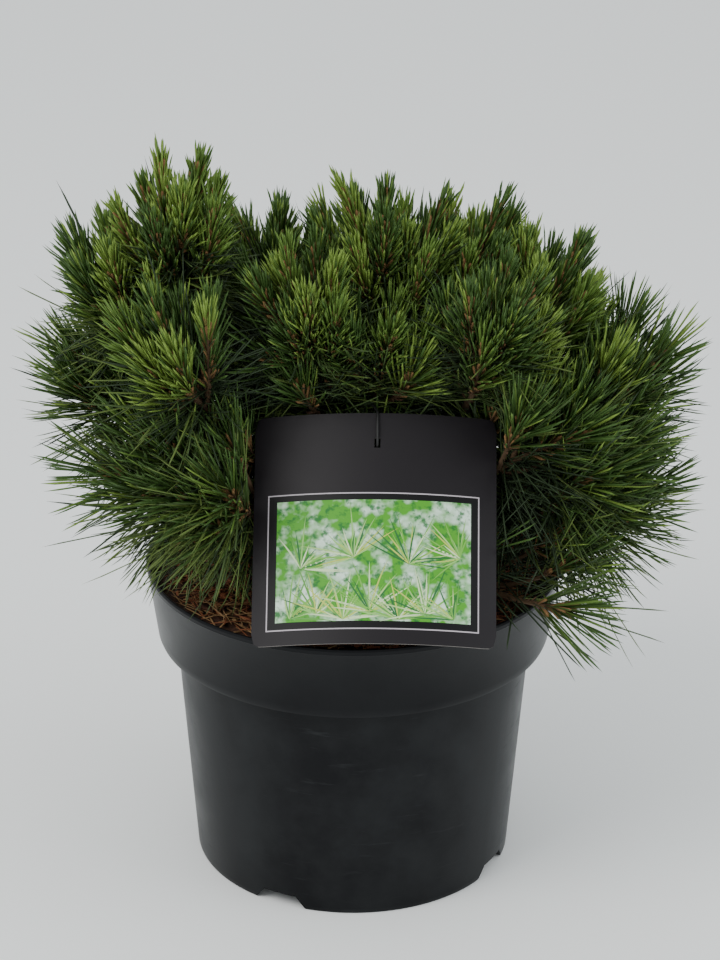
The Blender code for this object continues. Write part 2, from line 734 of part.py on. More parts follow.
class Foliage:
    """Grows the masses one by one, each inside its own space."""

    def __init__(self, plan, tie_points):
        self.plan = plan
        self.names = list(plan.axes)
        self.axis_starts = np.array([tuple(plan.axes[name][0]) for name in self.names])
        self.axis_ends = np.array([tuple(plan.axes[name][1]) for name in self.names])
        self.taken = Obstacles()
        for name, (points, radii) in plan.limbs.items():
            self.taken.add_line(points, radii, "limb_" + name)
        loop = tie_points + tie_points[:1]
        self.taken.add_line(loop, [TIE_RADIUS] * len(loop), "tie")

    def in_own_space(self, point, name, margin):
        spot = np.array(point)
        lines = self.axis_ends - self.axis_starts
        places = np.einsum("ij,ij->i", spot - self.axis_starts, lines)
        places = np.clip(places / np.einsum("ij,ij->i", lines, lines), 0.0, 1.0)
        gaps = np.linalg.norm(self.axis_starts + places[:, None] * lines - spot, axis=1)
        own = self.names.index(name)
        beyond = (point - self.plan.tips[name]).dot(self.plan.growths[name])
        if gaps[own] > SPACE_RADIUS or beyond > 0.0:
            return False
        others = np.delete(gaps, own)
        return gaps[own] + margin < others.min()

    def fits(self, start, end, radius, name, ignored):
        steps = max(2, math.ceil((end - start).length / SAMPLE_STEP))
        for index in range(steps + 1):
            point = start.lerp(end, index / steps)
            if not self.in_own_space(point, name, SPACE_MARGIN):
                return False
            if not over_pot(point, radius + LIMB_MARGIN):
                return False
            if not behind_card(point, radius + CARD_MARGIN):
                return False
        return self.taken.clear(start, end, radius, LIMB_MARGIN, ignored)

    def stem(self, name):
        """Stem of a mass, from 0.3 mm beyond its bough's tip to its leading shoot."""
        base, tip = self.plan.axes[name]
        bough = self.plan.limbs[name][0]
        onward = (bough[-1] - bough[-2]).normalized()
        bend = base + (onward + self.plan.growths[name]).normalized() * (tip - base).length * 0.5
        turn = onward.angle(bend - base)
        start = base + onward * (GAP + STEM_SEAT * STEM_RADIUS * math.sin(turn))
        points = bezier(start, bend, tip, STEM_POINTS)
        radii = [STEM_RADIUS] * (STEM_POINTS - 1) + [SHOOT_TIP_RADIUS]
        return points, radii

    def shoots(self, name, stem_points, dice):
        """Side shoots in whorls along the stem, each bending upwards."""
        found = []
        growth = self.plan.growths[name]
        side = growth.orthogonal().normalized()
        lift = growth * (1.0 - SHOOT_LIFT) + Vector((0.0, 0.0, SHOOT_LIFT))
        first_turn = dice.uniform(0.0, 360.0)
        for whorl_index, (place, count) in enumerate(WHORLS):
            root = along(stem_points, place)
            for index in range(count):
                turn = first_turn + 360.0 * index / count + WHORL_TURN * whorl_index
                for attempt in range(SHOOT_ATTEMPTS):
                    angle = math.radians(SHOOT_ANGLE + dice.uniform(-SHOOT_SCATTER, SHOOT_SCATTER))
                    length = SHOOT_LENGTH * dice.uniform(*SHOOT_LENGTH_RANGE)
                    length *= (1.0 - SHOOT_SHORTENING * place) * (1.0 - ATTEMPT_SHORTENING * attempt)
                    aim = math.radians(turn + ATTEMPT_TURN * attempt)
                    sideways = Matrix.Rotation(aim, 3, growth) @ side
                    leave = growth * math.cos(angle) + sideways * math.sin(angle)
                    onward = (leave * (1.0 - RIGHTING) + lift * RIGHTING).normalized()
                    bend = root + leave * length * SHOOT_BEND
                    end = bend + onward * length * (1.0 - SHOOT_BEND)
                    points = bezier(root, bend, end, SHOOT_POINTS)
                    if self.shoot_fits(points, name):
                        radii = [SHOOT_RADIUS] * (SHOOT_POINTS - 1) + [SHOOT_TIP_RADIUS]
                        self.taken.add_line(points, radii, name)
                        found.append((points, radii))
                        break
        return found

    def shoot_fits(self, points, name):
        """True where a side shoot ends short of the leader and clear of all but its stem's root."""
        if (points[-1] - self.plan.tips[name]).dot(self.plan.growths[name]) > -SHORTFALL:
            return False
        limb = "limb_" + name
        line = [points[0].lerp(points[1], 0.5)] + points[1:]
        for start, end in zip(line, line[1:]):
            if not self.fits(start, end, SHOOT_RADIUS, name, (name, limb)):
                return False
            if not self.taken.clear(start, end, SHOOT_RADIUS, 2 * SHOOT_RADIUS, (limb, name + "_stem")):
                return False
        return True

    def needles(self, name, shoot, count, dice):
        """Needles round one shoot: long on its older part, short and close on the new tip."""
        points, _ = shoot
        found = []
        turn = dice.uniform(0.0, 360.0)
        ignored = (name, name + "_stem", "limb_" + name)
        for index in range(count):
            place = FIRST_NEEDLE + (LAST_NEEDLE - FIRST_NEEDLE) * index / (count - 1)
            root = along(points, place)
            before = along(points, place - TANGENT_STEP)
            ahead = (along(points, min(place + TANGENT_STEP, 1.0)) - before).normalized()
            age = 1.0 - place
            side = ahead.orthogonal().normalized()
            for attempt in range(NEEDLE_ATTEMPTS):
                turn += GOLDEN_ANGLE
                scatter = dice.uniform(-NEEDLE_SCATTER, NEEDLE_SCATTER)
                lean = math.radians(TIP_LEAN + (ROOT_LEAN - TIP_LEAN) * age + scatter)
                length = NEW_NEEDLE + (OLD_NEEDLE - NEW_NEEDLE) * min(age * OLD_SHARE, 1.0)
                length *= dice.uniform(0.90, 1.10) * (1.0 - NEEDLE_SHORTENING * attempt)
                sideways = Matrix.Rotation(math.radians(turn), 3, ahead) @ side
                aim = ahead * math.cos(lean) + sideways * math.sin(lean)
                if root.z < DROOP_HEIGHT:
                    aim = (aim - Vector((0.0, 0.0, LOW_DROOP * age))).normalized()
                tip = root + aim * length
                clear_root = root + aim * (SHOOT_RADIUS + NEEDLE_RADIUS)
                if self.fits(clear_root, tip, NEEDLE_RADIUS, name, ignored):
                    if self.needle_free(clear_root, tip):
                        found.append((root, tip))
                        break
        return found

    def needle_free(self, start, tip):
        """Keep needles of one mass from crossing each other and its other twigs."""
        middle = np.array(start.lerp(tip, 0.25))
        end = np.array(tip)
        for line in self.other_lines:
            starts = np.array([tuple(point) for point in line[:-1]])
            ends = np.array([tuple(point) for point in line[1:]])
            if segment_gaps(middle, end, starts, ends).min() < SHOOT_RADIUS + 2 * NEEDLE_RADIUS:
                return False
        if not self.own_needles:
            return True
        starts = np.array([tuple(root) for root, _ in self.own_needles])
        ends = np.array([tuple(end_point) for _, end_point in self.own_needles])
        return segment_gaps(middle, end, starts, ends).min() > 2 * NEEDLE_RADIUS

    def grow(self, name, seed):
        """All twigs and needles of one mass."""
        dice = random.Random(seed)
        stem = self.stem(name)
        self.taken.add_line(*stem, name + "_stem")
        side_shoots = self.shoots(name, stem[0], dice)
        twigs = [stem] + side_shoots
        self.own_needles = []
        for index, twig in enumerate(twigs):
            self.other_lines = [other[0] for other in twigs if other is not twig]
            count = STEM_NEEDLES if index == 0 else SHOOT_NEEDLES
            for root, tip in self.needles(name, twig, count, dice):
                self.own_needles.append((root, tip))
                self.taken.add(root, tip, NEEDLE_RADIUS, name)
        return twigs, self.own_needles


def make_needle(root, tip, collection):
    """Three-sided spike that stands for a spray: its root is a point, deep in the twig."""
    aim = tip - root
    length = aim.length
    blade = length * (1.0 - NEEDLE_WIDEST)
    shape = bmesh.new()
    bmesh.ops.create_cone(
        shape, cap_ends=True, segments=3, radius1=1.0, radius2=0.0, depth=blade,
        matrix=Matrix.Translation((0.0, 0.0, length - blade / 2)),
    )
    widest = [face for face in shape.faces if abs(face.normal.z) > 0.99]
    bmesh.ops.poke(shape, faces=widest, offset=length * NEEDLE_WIDEST)
    bmesh.ops.scale(
        shape, verts=shape.verts, vec=(NEEDLE_HALF_WIDTH, NEEDLE_HALF_THICKNESS, 1.0),
    )
    turn = aim.to_track_quat("Z", "X").to_matrix().to_4x4()
    bmesh.ops.transform(shape, verts=shape.verts, matrix=Matrix.Translation(root) @ turn)
    return object_from_bmesh("needle", shape, collection)


def join_mass(name, twigs, needles, parts, material):
    """Fuse a mass by one Boolean union, then remove the pieces that went into it."""
    loose = make_collection("loose_" + name)
    mass = tube("foliage_" + name, *twigs[0], TWIG_SIDES, parts, material)
    for points, radii in twigs[1:]:
        tube("twig", points, radii, TWIG_SIDES, loose)
    for root, tip in needles:
        make_needle(root, tip, loose)
    union = mass.modifiers.new("union", "BOOLEAN")
    union.operation = "UNION"
    union.operand_type = "COLLECTION"
    union.collection = loose
    union.solver = "MANIFOLD"
    apply_modifiers(mass)
    for piece in list(loose.objects):
        bpy.data.objects.remove(piece)
    bpy.data.collections.remove(loose)
    keep_largest_body(mass)
    return mass


def make_foliage(plan, tie_points, parts):
    material = make_material("needles")
    foliage = Foliage(plan, tie_points)
    for seed, name in enumerate(foliage.names):
        twigs, needles = foliage.grow(name, seed + 11)
        join_mass(name, twigs, needles, parts, material)


def main():
    for old in list(bpy.data.objects):
        bpy.data.objects.remove(old)
    parts = make_collection("mugo_pine_in_pot")
    cutters = make_collection("cutters")
    make_pot(parts, cutters)
    make_soil(parts)
    make_card(parts, cutters)
    plan = Plan()
    tie_points = tie_line(plan)
    tie_radii = [TIE_RADIUS] * len(tie_points)
    tie = tube("card_tie", tie_points, tie_radii, TIE_SIDES, parts, make_material("tie"), closed=True)
    smooth(tie)
    make_limbs(plan, parts, cutters)
    make_foliage(plan, tie_points, parts)


main()
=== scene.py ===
"""Dresses the mugo pine in its black nursery pot, on a plain pale floor. Metres, +Z up.

The limbs and the masses of foliage follow the rule of the solids, carried on to finer twigs,
fascicles of needles and relief in the bark. The pot, its filling, the hang card and its loop
are modelled again, finer, in the places that the solids hold.
"""

import math
import random

import bmesh
import bpy
import numpy as np
from bpy.props import FloatProperty, FloatVectorProperty, IntProperty, PointerProperty
from mathutils import Matrix, Vector, noise


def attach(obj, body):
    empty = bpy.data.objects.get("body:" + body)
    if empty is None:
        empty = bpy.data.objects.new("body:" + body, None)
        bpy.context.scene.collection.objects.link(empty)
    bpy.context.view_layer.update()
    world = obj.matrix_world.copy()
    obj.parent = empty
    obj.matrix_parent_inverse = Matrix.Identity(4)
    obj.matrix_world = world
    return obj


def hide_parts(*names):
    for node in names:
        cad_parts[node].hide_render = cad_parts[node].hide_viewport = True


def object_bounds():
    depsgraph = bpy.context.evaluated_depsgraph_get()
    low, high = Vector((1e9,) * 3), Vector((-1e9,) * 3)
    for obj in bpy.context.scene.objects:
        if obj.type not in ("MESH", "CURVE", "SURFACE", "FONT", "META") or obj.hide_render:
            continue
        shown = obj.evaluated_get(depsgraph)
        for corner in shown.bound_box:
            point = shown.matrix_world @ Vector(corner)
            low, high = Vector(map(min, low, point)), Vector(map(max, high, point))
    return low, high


bl_info = {
    "name": "Mugo pine in a nursery pot",
    "version": (1, 0, 0),
    "blender": (4, 5, 0),
    "location": "View3D > Sidebar > Pine",
    "description": "Models the pot, its filling, the limbs, the foliage and the hang card",
    "category": "Add Mesh",
}

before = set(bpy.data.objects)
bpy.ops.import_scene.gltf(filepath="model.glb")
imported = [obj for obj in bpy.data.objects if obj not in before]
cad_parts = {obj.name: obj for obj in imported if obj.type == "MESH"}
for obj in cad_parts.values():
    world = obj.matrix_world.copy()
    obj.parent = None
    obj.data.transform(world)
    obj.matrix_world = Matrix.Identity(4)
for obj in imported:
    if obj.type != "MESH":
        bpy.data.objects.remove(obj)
CAD_LOW, CAD_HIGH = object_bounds()

# The visual model may stand this far out of the solids' box
STAND_OUT_SHARE = 0.03
STAND_OUT = 0.003

# Points nearer to each other than this become one
MERGE_DISTANCE = 0.00002

# A piece is split above this count of triangles
MOST_TRIANGLES = 190000

# Pot, as in the solids
RIM_ROUND = 0.001
COLLAR_ROUND = 0.0026
FOOT_ROUND = 0.001
FLOOR = 0.0025
CHANNEL_HEIGHT = 0.008
PAD_RADIUS = 0.052
CHANNEL_SLOPE = 0.004
NOTCH_COUNT = 4
FIRST_NOTCH_AZIMUTH = -117.0
NOTCH_GROUND_WIDTH = 0.029
NOTCH_TOP_WIDTH = 0.018
NOTCH_HEIGHT = 0.007
DRAIN_RADIUS = 0.005
DRAIN_CENTRE_RADIUS = 0.068
DRAIN_STEPS = 24
POT_STEPS = 144
POT_SHARP_ANGLE = 32.0

# The lip is 3 mm high and stands half a millimetre out of the collar
LIP_HEIGHT = 0.0030
LIP_FOOT_HEIGHT = 0.0036
LIP_DRAFT = 0.0002
LIP_DEPTH = 0.0007

# Round of the collar's foot: widths out of it and heights above it
COLLAR_FLARE = 0.0004
COLLAR_FLARE_HEIGHT = 0.0028
COLLAR_ROUND_WIDTH = 0.0007
COLLAR_ROUND_HEIGHT = 0.0008
COLLAR_FILLET = 0.0014
COLLAR_FILLET_DROP = 0.0002
BODY_TOP_DROP = 0.0016

# The body's foot flares a little at this height
FOOT_FLARE = 0.0002
FOOT_FLARE_HEIGHT = 0.0030

# The cutter of a notch goes on below the ground, and is this much wider there
NOTCH_EXTRA = 0.0015

# Filling of the pot
SOIL_EDGE_HEIGHT = 0.1565
SOIL_TOP_HEIGHT = 0.1600
SOIL_FLAT_RADIUS = 0.030
SOIL_SLOPE_RADIUS = 0.1015
SOIL_EDGE_RADIUS = 0.1024
SOIL_SLOPE_POWER = 1.3
SOIL_GAP = 0.0003
SOIL_RINGS = 60
SOIL_STEPS = 150

# Lumps and crumbs of the peat: patterns per metre, share of the unevenness, and the width of
# the calm band at the wall
LUMPS = 90.0
LUMP_SHARE = 0.55
CRUMBS = 330.0
CRUMB_SHARE = 0.60
CALM_BAND = 0.004

# Litter on the peat: how far out its roots and tips lie, and how high it may lie
LITTER_RADIUS = 0.0985
LITTER_REACH = 0.1005
LITTER_HEIGHTS = (0.0002, 0.0026)

# Trunk, from a flat cut at the soil to its fork
TRUNK_FOOT = Vector((0.002, 0.006, 0.1598))
TRUNK_FORK = Vector((0.006, 0.004, 0.214))
TRUNK_RADIUS = 0.0078
TRUNK_FORK_RADIUS = 0.0066
FLARE_EXTRA = 0.0065
FLARE_RISE = 0.010
TRUNK_POINTS = 8
TRUNK_POINT_POWER = 1.4
TRUNK_BOW = 0.0016

# Hang card, which lies back on the front of the plant
CARD_FOOT = Vector((0.0098, -0.1070, 0.1662))
CARD_LEAN = 40.0
CARD_YAW = -1.7
CARD_ROLL = -0.6
SLOT_CENTRE = Vector((0.0010, 0.1010))
SLOT_WIDTH = 0.0030
SLOT_HEIGHT = 0.0050
LINE_LEFT = -0.0526
LINE_RIGHT = 0.0513
LINE_BOTTOM = 0.0072
LINE_TOP = 0.0758
PICTURE_LEFT = -0.0480
PICTURE_RIGHT = 0.0472
PICTURE_BOTTOM = 0.0113
PICTURE_TOP = 0.0721
PRINT_LIFT = 0.00008
PICTURE_LIFT = 0.00005
CARD_COLUMNS = 36
PRINT_COLUMNS = 32
CARD_SHARP_ANGLE = 40.0

# Fans of blades on the picture: foot on the flat card and azimuth of the middle blade
FANS = (
    (-0.041, 0.013, 80), (-0.028, 0.015, 100), (-0.015, 0.012, 85), (-0.002, 0.016, 95),
    (0.012, 0.012, 84), (0.025, 0.015, 102), (0.039, 0.013, 92), (-0.036, 0.038, 62),
    (-0.010, 0.043, 112), (0.017, 0.040, 72), (0.042, 0.044, 138),
)
FAN_BLADES = 23
FAN_TURN = 7.5
FAN_SCATTER = 5
FAN_LENGTHS = (0.010, 0.028)
FAN_BEND = 0.003
FAN_WIDTH = 0.0008
FAN_MARGIN = 0.001
FAN_TONES = ("#8fc46a", "#5d9c46", "#cfe6b4", "#2f6b3a", "#a9cf7e", "#74b34c", "#b9c95c")

# Each blade lies a hair above the one before
FAN_LIFT = 0.00002
FAN_LAYER = 0.0000005

# Loop that ties the card to a side bough
TIE_BOUGH = "centre_left"
TIE_PLACE = 0.62
TIE_STAND_OFF = 0.0022
TIE_RING_GAP = 0.0014
TIE_RING_POINTS = 7
TIE_RING_START = 70.0
TIE_RING_SWEEP = 220.0
TIE_CURVE_POINTS = 6

# Boughs
BOUGH_POINTS = 9
MAIN_RADIUS = 0.0046
SIDE_RADIUS = 0.0034
TIP_RADIUS = 0.0024
BEND_RUN = 0.55
BEND_RISE = 0.25
FINER_TRUNK = 8
FINER_BOUGHS = 5

# Bark: flakes of the relief as a share of the flake size, their rise and their roughness
RELIEF_FLAKE = 0.8
RELIEF_RISE = 1.6
RELIEF_MIDDLE = 0.6
RELIEF_ROUGH = 0.35
RELIEF_GRAIN = 900.0

# Masses of foliage
STEM_LENGTH = 0.092
BRUSH_LENGTH = 0.016
STEM_RADIUS = 0.0023
SHOOT_RADIUS = 0.0017
SHOOT_TIP_RADIUS = 0.0009
SPACE_RADIUS = 0.050
WHORLS = ((0.08, 3), (0.22, 3), (0.36, 3), (0.50, 2))
GOLDEN_ANGLE = 137.5
WHORL_TURN = 97.0
ATTEMPT_TURN = 22.0
SHOOT_ATTEMPTS = 12
SHOOT_LENGTH = 0.060
SHOOT_LENGTH_RANGE = (0.85, 1.10)
SHOOT_SHORTENING = 0.5
ATTEMPT_SHORTENING = 0.04
SHOOT_ANGLE = 46.0
SHOOT_SCATTER = 8.0
SHOOT_BEND = 0.42
SHOOT_LIFT = 0.65
SHOOT_POINTS = 7
STEM_POINTS = 9
STEM_SHARE = 0.50
TRUNK_CLEARANCE = 0.014
ROUND_HEIGHT = 0.190
UPRIGHT_HEIGHT = 0.385
LEVEL_RISE = 8.0
MOST_RISE = 80.0
RIGHTING = 0.72
CANDLE_SPACING = 0.0155
SHORTFALL = 0.024

# Twigs are strong above one height and within one reach from the middle, and dull past others
DULL_HEIGHT = 0.238
VIGOROUS_HEIGHT = 0.330
DULL_REACH = 0.165
VIGOROUS_REACH = 0.118

# This year's needles, as values for the weakest and the strongest twig: share of the count,
# share of the length, leans in degrees at the foot and the tip, and share of the length there
NEW_COUNTS = (0.36, 1.20)
NEW_LENGTHS = (1.65, 0.95)
NEW_FOOT_LEANS = (42.0, 26.0)
NEW_TIP_LEANS = (15.0, 12.0)
NEW_FOOT_LENGTH = 1.05
NEW_TIP_LENGTHS = (0.85, 0.74)
NEW_END = 0.99
NEW_DROOP = 0.3
SHEATH_LENGTH = 0.0100
SHEATH_WIDTH = 0.0020

# Bud scales in a knot where this year's part begins
SCALE_PAIRS = 9
SCALE_LENGTH = 0.0050
SCALE_LEANS = (55.0, 30.0)
KNOT_BELOW = 0.05
KNOT_ABOVE = 0.02

# Last year's needles, also for the weakest and the strongest twig. Past the strong reach they
# get fewer still
OLD_COUNTS = (1.0, 0.65)
OLD_OUTER_LOSS = 0.5
OLD_LENGTHS = (1.0, 0.70)
OLD_FOOT_LEAN = 84.0
OLD_TIP_LEANS = (48.0, 58.0)
OLD_FOOT_LENGTH = 1.02
OLD_TIP_LENGTH = 0.94
OLD_START = 0.06
OLD_ENDS = (0.80, 0.28)
OLD_WIDTH_SHARE = 0.80
NEW_OVERLAP = 0.05
BOUGH_SHARE = 1.3
BOUGH_START = 0.34
STEM_NEEDLE_SHARE = 1.6

# A few of last year's needles stand up, longer and wider apart
STRAY_SHARES = (0.05, 0.04)
STRAY_LEAN = 0.4
STRAY_LENGTH = 1.42
STRAY_SPREAD = 4.0

# All needles: scatter and limits of the lean in degrees, spread of a pair, and bends as
# shares of the length
LEAN_SCATTER = 6.0
LEAN_LIMITS = (6.0, 100.0)
LENGTH_RANGE = (0.86, 1.10)
PAIR_LENGTH_RANGE = (0.94, 1.06)
PAIR_SPREAD = (1.5, 5.0)
NEEDLE_BEND = 0.06
PAIR_BEND = 0.03
BEND_SCATTER = 0.035
WIDTH_RANGE = (0.82, 1.15)

# Three tones, of which the last is the deepest: a dull twig has it, needles in the shaded hollows have it
# as painted shade, and most needles of a twig have the twig's own
DEEPEST = 2
TONE_VIGOUR = 0.35
OWN_TONE_SHARE = 0.72

# Needles of low masses hang, and more so near the foot of a twig
DROOP_HEIGHT = 0.250
LOW_DROOP = 0.38
HIGH_DROOP = 0.06
DROOP_EASE = 0.6

# Places along a needle that are tested for room, and the one nearest to its middle
TEST_PLACES = np.linspace(0.12, 1.0, 11)
MIDDLE_PLACE = 4
CARD_MARGIN = 0.0016
POT_MARGIN = 0.0008
WALL_MARGIN = 0.004
OVER_SOIL = 0.014
GROUND_MARGIN = 0.012

# Low and high corners of the shaded hollows at the front: beside the card's right edge, above
# its left corner, and along its top edge. Needles there take the deepest tone as painted shade. The share
# is of needles that stay there
SHADED_HOLLOWS = (
    ((0.064, -0.130, 0.150), (0.100, -0.036, 0.256)),
    ((-0.078, -0.092, 0.258), (-0.034, -0.018, 0.318)),
    ((-0.034, -0.125, 0.255), (0.022, -0.040, 0.292)),
    ((0.022, -0.125, 0.255), (0.060, -0.045, 0.322)),
)
HOLLOW_SHARE = 0.36

# Each mass of foliage: name, limb that carries it, place along that limb from 0 to 1,
# and the millimetre position that the needles at the tip of its leading shoot reach
TUFTS = (
    ("left_leader", "trunk", 0.72, (-97, -15, 394)),
    ("left_low_outer", "trunk", 0.30, (-151, 5, 284)),
    ("centre_top", "trunk", 1.00, (-8, 4, 374)),
    ("right_outer_high", "trunk", 0.62, (116, 4, 344)),
    ("right_side", "trunk", 0.26, (164, -6, 288)),
    ("back", "trunk", 0.50, (-12, 136, 288)),
    ("back_low", "trunk", 0.22, (-62, 122, 214)),
    ("front_low", "trunk", 0.30, (12, -66, 214)),
    ("left_outer_high", "left_leader", 0.76, (-121, -14, 362)),
    ("back_left_high", "left_leader", 0.38, (-66, 46, 347)),
    ("left_front", "left_leader", 0.57, (-102, -62, 338)),
    ("left_low", "left_low_outer", 0.55, (-136, -46, 238)),
    ("front_left_low", "left_low_outer", 0.35, (-94, -78, 236)),
    ("centre_left", "centre_top", 0.62, (-36, -40, 357)),
    ("centre_front", "centre_top", 0.12, (20, -56, 318)),
    ("centre_left_inner", "left_leader", 0.24, (-48, -42, 300)),
    ("centre_right", "centre_top", 0.70, (46, 14, 363)),
    ("back_top", "centre_top", 0.50, (14, 66, 342)),
    ("right_high", "right_outer_high", 0.36, (75, 10, 364)),
    ("right_front_high", "right_outer_high", 0.66, (90, -47, 341)),
    ("right_low", "right_side", 0.55, (162, -26, 218)),
    ("front_right", "right_side", 0.40, (120, -62, 266)),
    ("front_right_low", "right_side", 0.25, (116, -90, 176)),
    ("right_inner", "right_side", 0.66, (150, -36, 252)),
    ("back_left", "back", 0.32, (-98, 98, 300)),
    ("back_right", "back", 0.55, (84, 112, 302)),
    ("back_right_low", "trunk", 0.36, (66, 134, 216)),
)
FOLIAGE_NODES = tuple("foliage_" + tuft[0] for tuft in TUFTS)

# Rings of a blade, as height and share of the width
SHORT_BLADE = ((0.0, 0.8), (0.84, 1.0), (1.0, 0.0))
LONG_BLADE = ((0.0, 0.8), (0.45, 1.0), (0.88, 0.85), (1.0, 0.0))
CHIP_BLADE = ((0.0, 0.5), (0.35, 1.0), (0.8, 0.7), (1.0, 0.0))
LEAST_WIDTH = 0.01

# Camera at the photograph's place, with its turns in degrees, and the lights' aim
CAMERA_PLACE = (0.0, -1.5805, 0.9329)
CAMERA_TURNS = (("Z", -0.11), ("X", 65.35), ("Z", 0.30))
CAMERA_LENS = 127.7
LIGHT_AIM = (0.0, 0.0, 0.24)


def linear(hex_code):
    """Linear colour from an sRGB hex value."""
    channels = [int(hex_code[start:start + 2], 16) / 255.0 for start in (1, 3, 5)]
    straight = [
        value / 12.92 if value <= 0.04045 else ((value + 0.055) / 1.055) ** 2.4
        for value in channels
    ]
    return (*straight, 1.0)


# Settings

def length_setting(name, description, default):
    return FloatProperty(
        name=name, description=description, default=default, min=0.0, unit="LENGTH", precision=5,
    )


def count_setting(name, description, default):
    return IntProperty(name=name, description=description, default=default, min=0)


def strength_setting(name, description, default):
    return FloatProperty(name=name, description=description, default=default, min=0.0)


def colour_setting(name, description, hex_code):
    return FloatVectorProperty(
        name=name, description=description, default=linear(hex_code), size=4, min=0.0, max=1.0,
        subtype="COLOR",
    )


class PotSettings(bpy.types.PropertyGroup):
    height: length_setting("Height", "Height of the pot's rim above the floor", 0.165)
    rim_radius: length_setting("Rim radius", "Outer radius at the rim", 0.107)
    collar_bottom: length_setting("Collar height", "Height at which the collar begins", 0.1237)
    collar_radius: length_setting("Collar radius", "Outer radius at the foot of the collar", 0.1014)
    body_radius: length_setting("Body radius", "Outer radius just below the collar", 0.0918)
    foot_radius: length_setting("Foot radius", "Outer radius at the floor", 0.0822)
    wall: length_setting("Wall", "Thickness of the wall", 0.002)
    colour: colour_setting("Plastic", "Colour of the black polypropylene", "#0a0b0e")
    dust: colour_setting("Dust", "Colour of the dry dust and scuffs on the plastic", "#3c3f40")


class SoilSettings(bpy.types.PropertyGroup):
    roughness: length_setting("Unevenness", "Height of the lumps on the surface", 0.0022)
    fibres: count_setting("Fibres", "Number of dry needles and fibres", 2600)
    chips: count_setting("Bark chips", "Number of chips of bark", 520)
    dark: colour_setting("Dark peat", "Colour of the damp peat", "#1d120c")
    light: colour_setting("Light peat", "Colour of the dry peat", "#5a3826")
    fibre_red: colour_setting("Red fibre", "Colour of the reddish fibres", "#965a3a")
    fibre_tan: colour_setting("Tan fibre", "Colour of the driest needles", "#a98459")
    chip: colour_setting("Bark chip", "Colour of the chips of bark", "#4b2c1c")


class LimbSettings(bpy.types.PropertyGroup):
    relief: length_setting("Bark relief", "Depth between the flakes of bark", 0.0007)
    flake: length_setting("Flake size", "Width of one flake of bark", 0.0042)
    bark_dark: colour_setting("Bark furrow", "Colour between the flakes of bark", "#140e0a")
    bark_light: colour_setting("Bark flake", "Colour of the flakes of bark", "#30251e")
    twig: colour_setting("Twig", "Colour of the young bark of the twigs", "#47341f")


class NeedleSettings(bpy.types.PropertyGroup):
    new_length: length_setting("New needle", "Length of this year's needles", 0.0258)
    old_length: length_setting("Old needle", "Length of last year's needles", 0.053)
    width: length_setting("Needle width", "Width of one needle, larger than life", 0.00132)
    new_pairs: count_setting("New pairs", "Pairs of needles on one new shoot", 58)
    old_pairs: count_setting("Old pairs", "Pairs of needles on last year's part", 34)
    new_light: colour_setting("New, light", "Lightest tone of the new needles", "#76903f")
    new_middle: colour_setting("New, middle", "Middle tone of the new needles", "#5b7733")
    new_deep: colour_setting("New, deep", "Deepest tone of the new needles", "#405b2a")
    old_light: colour_setting("Old, light", "Lightest tone of the old needles", "#5b6d36")
    old_middle: colour_setting("Old, middle", "Middle tone of the old needles", "#42542e")
    old_deep: colour_setting("Old, deep", "Deepest tone of the old needles", "#2c3a25")
    sheath: colour_setting("Sheath", "Colour of the papery sheaths of the pairs", "#795a36")
    scale: colour_setting("Bud scale", "Colour of the dry bud scales", "#5c4230")


class CardSettings(bpy.types.PropertyGroup):
    width: length_setting("Width", "Width of the card laid flat", 0.1195)
    height: length_setting("Height", "Height of the card", 0.1162)
    thickness: length_setting("Thickness", "Thickness of the card", 0.0008)
    corner: length_setting("Corner", "Radius of the card's corners", 0.0045)
    bow: length_setting("Bow", "How far the middle stands out of the edges", 0.0118)
    line_width: length_setting("Line width", "Width of the printed line round the picture", 0.0006)
    tie_radius: length_setting("Loop radius", "Radius of the loop's cord", 0.0007)
    ink: colour_setting("Dark ink", "Colour of the printed face", "#1c191c")
    inside: colour_setting("Inside the line", "Colour of the ink between line and picture", "#0c0c0d")
    line: colour_setting("Line", "Colour of the printed line", "#b9b1b7")
    edge: colour_setting("Cut edge", "Colour of the card's cut edge", "#8d8884")
    ground: colour_setting("Picture, pale", "Palest tone of the picture", "#d5ecd9")
    leaf: colour_setting("Picture, green", "Green tone of the picture", "#4f9c2c")
    shade: colour_setting("Picture, deep", "Deep tone of the picture", "#1f6b2f")


class StageSettings(bpy.types.PropertyGroup):
    floor_size: length_setting("Floor", "Half width of the pale floor", 6.0)
    key_power: strength_setting("Key light", "Power of the large soft light", 22.0)
    fill_power: strength_setting("Fill light", "Power of the light on the right", 9.0)
    sky: strength_setting("Sky", "Strength of the even light", 1.08)
    floor: colour_setting("Floor colour", "Colour of the plain floor", "#fafcfb")


# Materials

def add_node(material, kind, settings=None, links=None):
    """Add one node, set its properties and constant inputs, and link its other inputs."""
    node = material.node_tree.nodes.new(kind)
    for key, value in (settings or {}).items():
        if isinstance(key, int) or key in node.inputs:
            node.inputs[key].default_value = value
        else:
            setattr(node, key, value)
    for key, socket in (links or {}).items():
        material.node_tree.links.new(socket, node.inputs[key])
    return node


def start_material(name, colour, roughness, refraction=1.5):
    """A material with one Principled shader and its constant values."""
    material = bpy.data.materials.new(name)
    material.use_nodes = True
    shader = material.node_tree.nodes["Principled BSDF"]
    shader.inputs["Base Color"].default_value = colour
    shader.inputs["Roughness"].default_value = roughness
    shader.inputs["IOR"].default_value = refraction
    return material, shader


def colour_by(material, shader, socket):
    material.node_tree.links.new(socket, shader.inputs["Base Color"])


def object_place(material):
    return add_node(material, "ShaderNodeTexCoord").outputs["Object"]


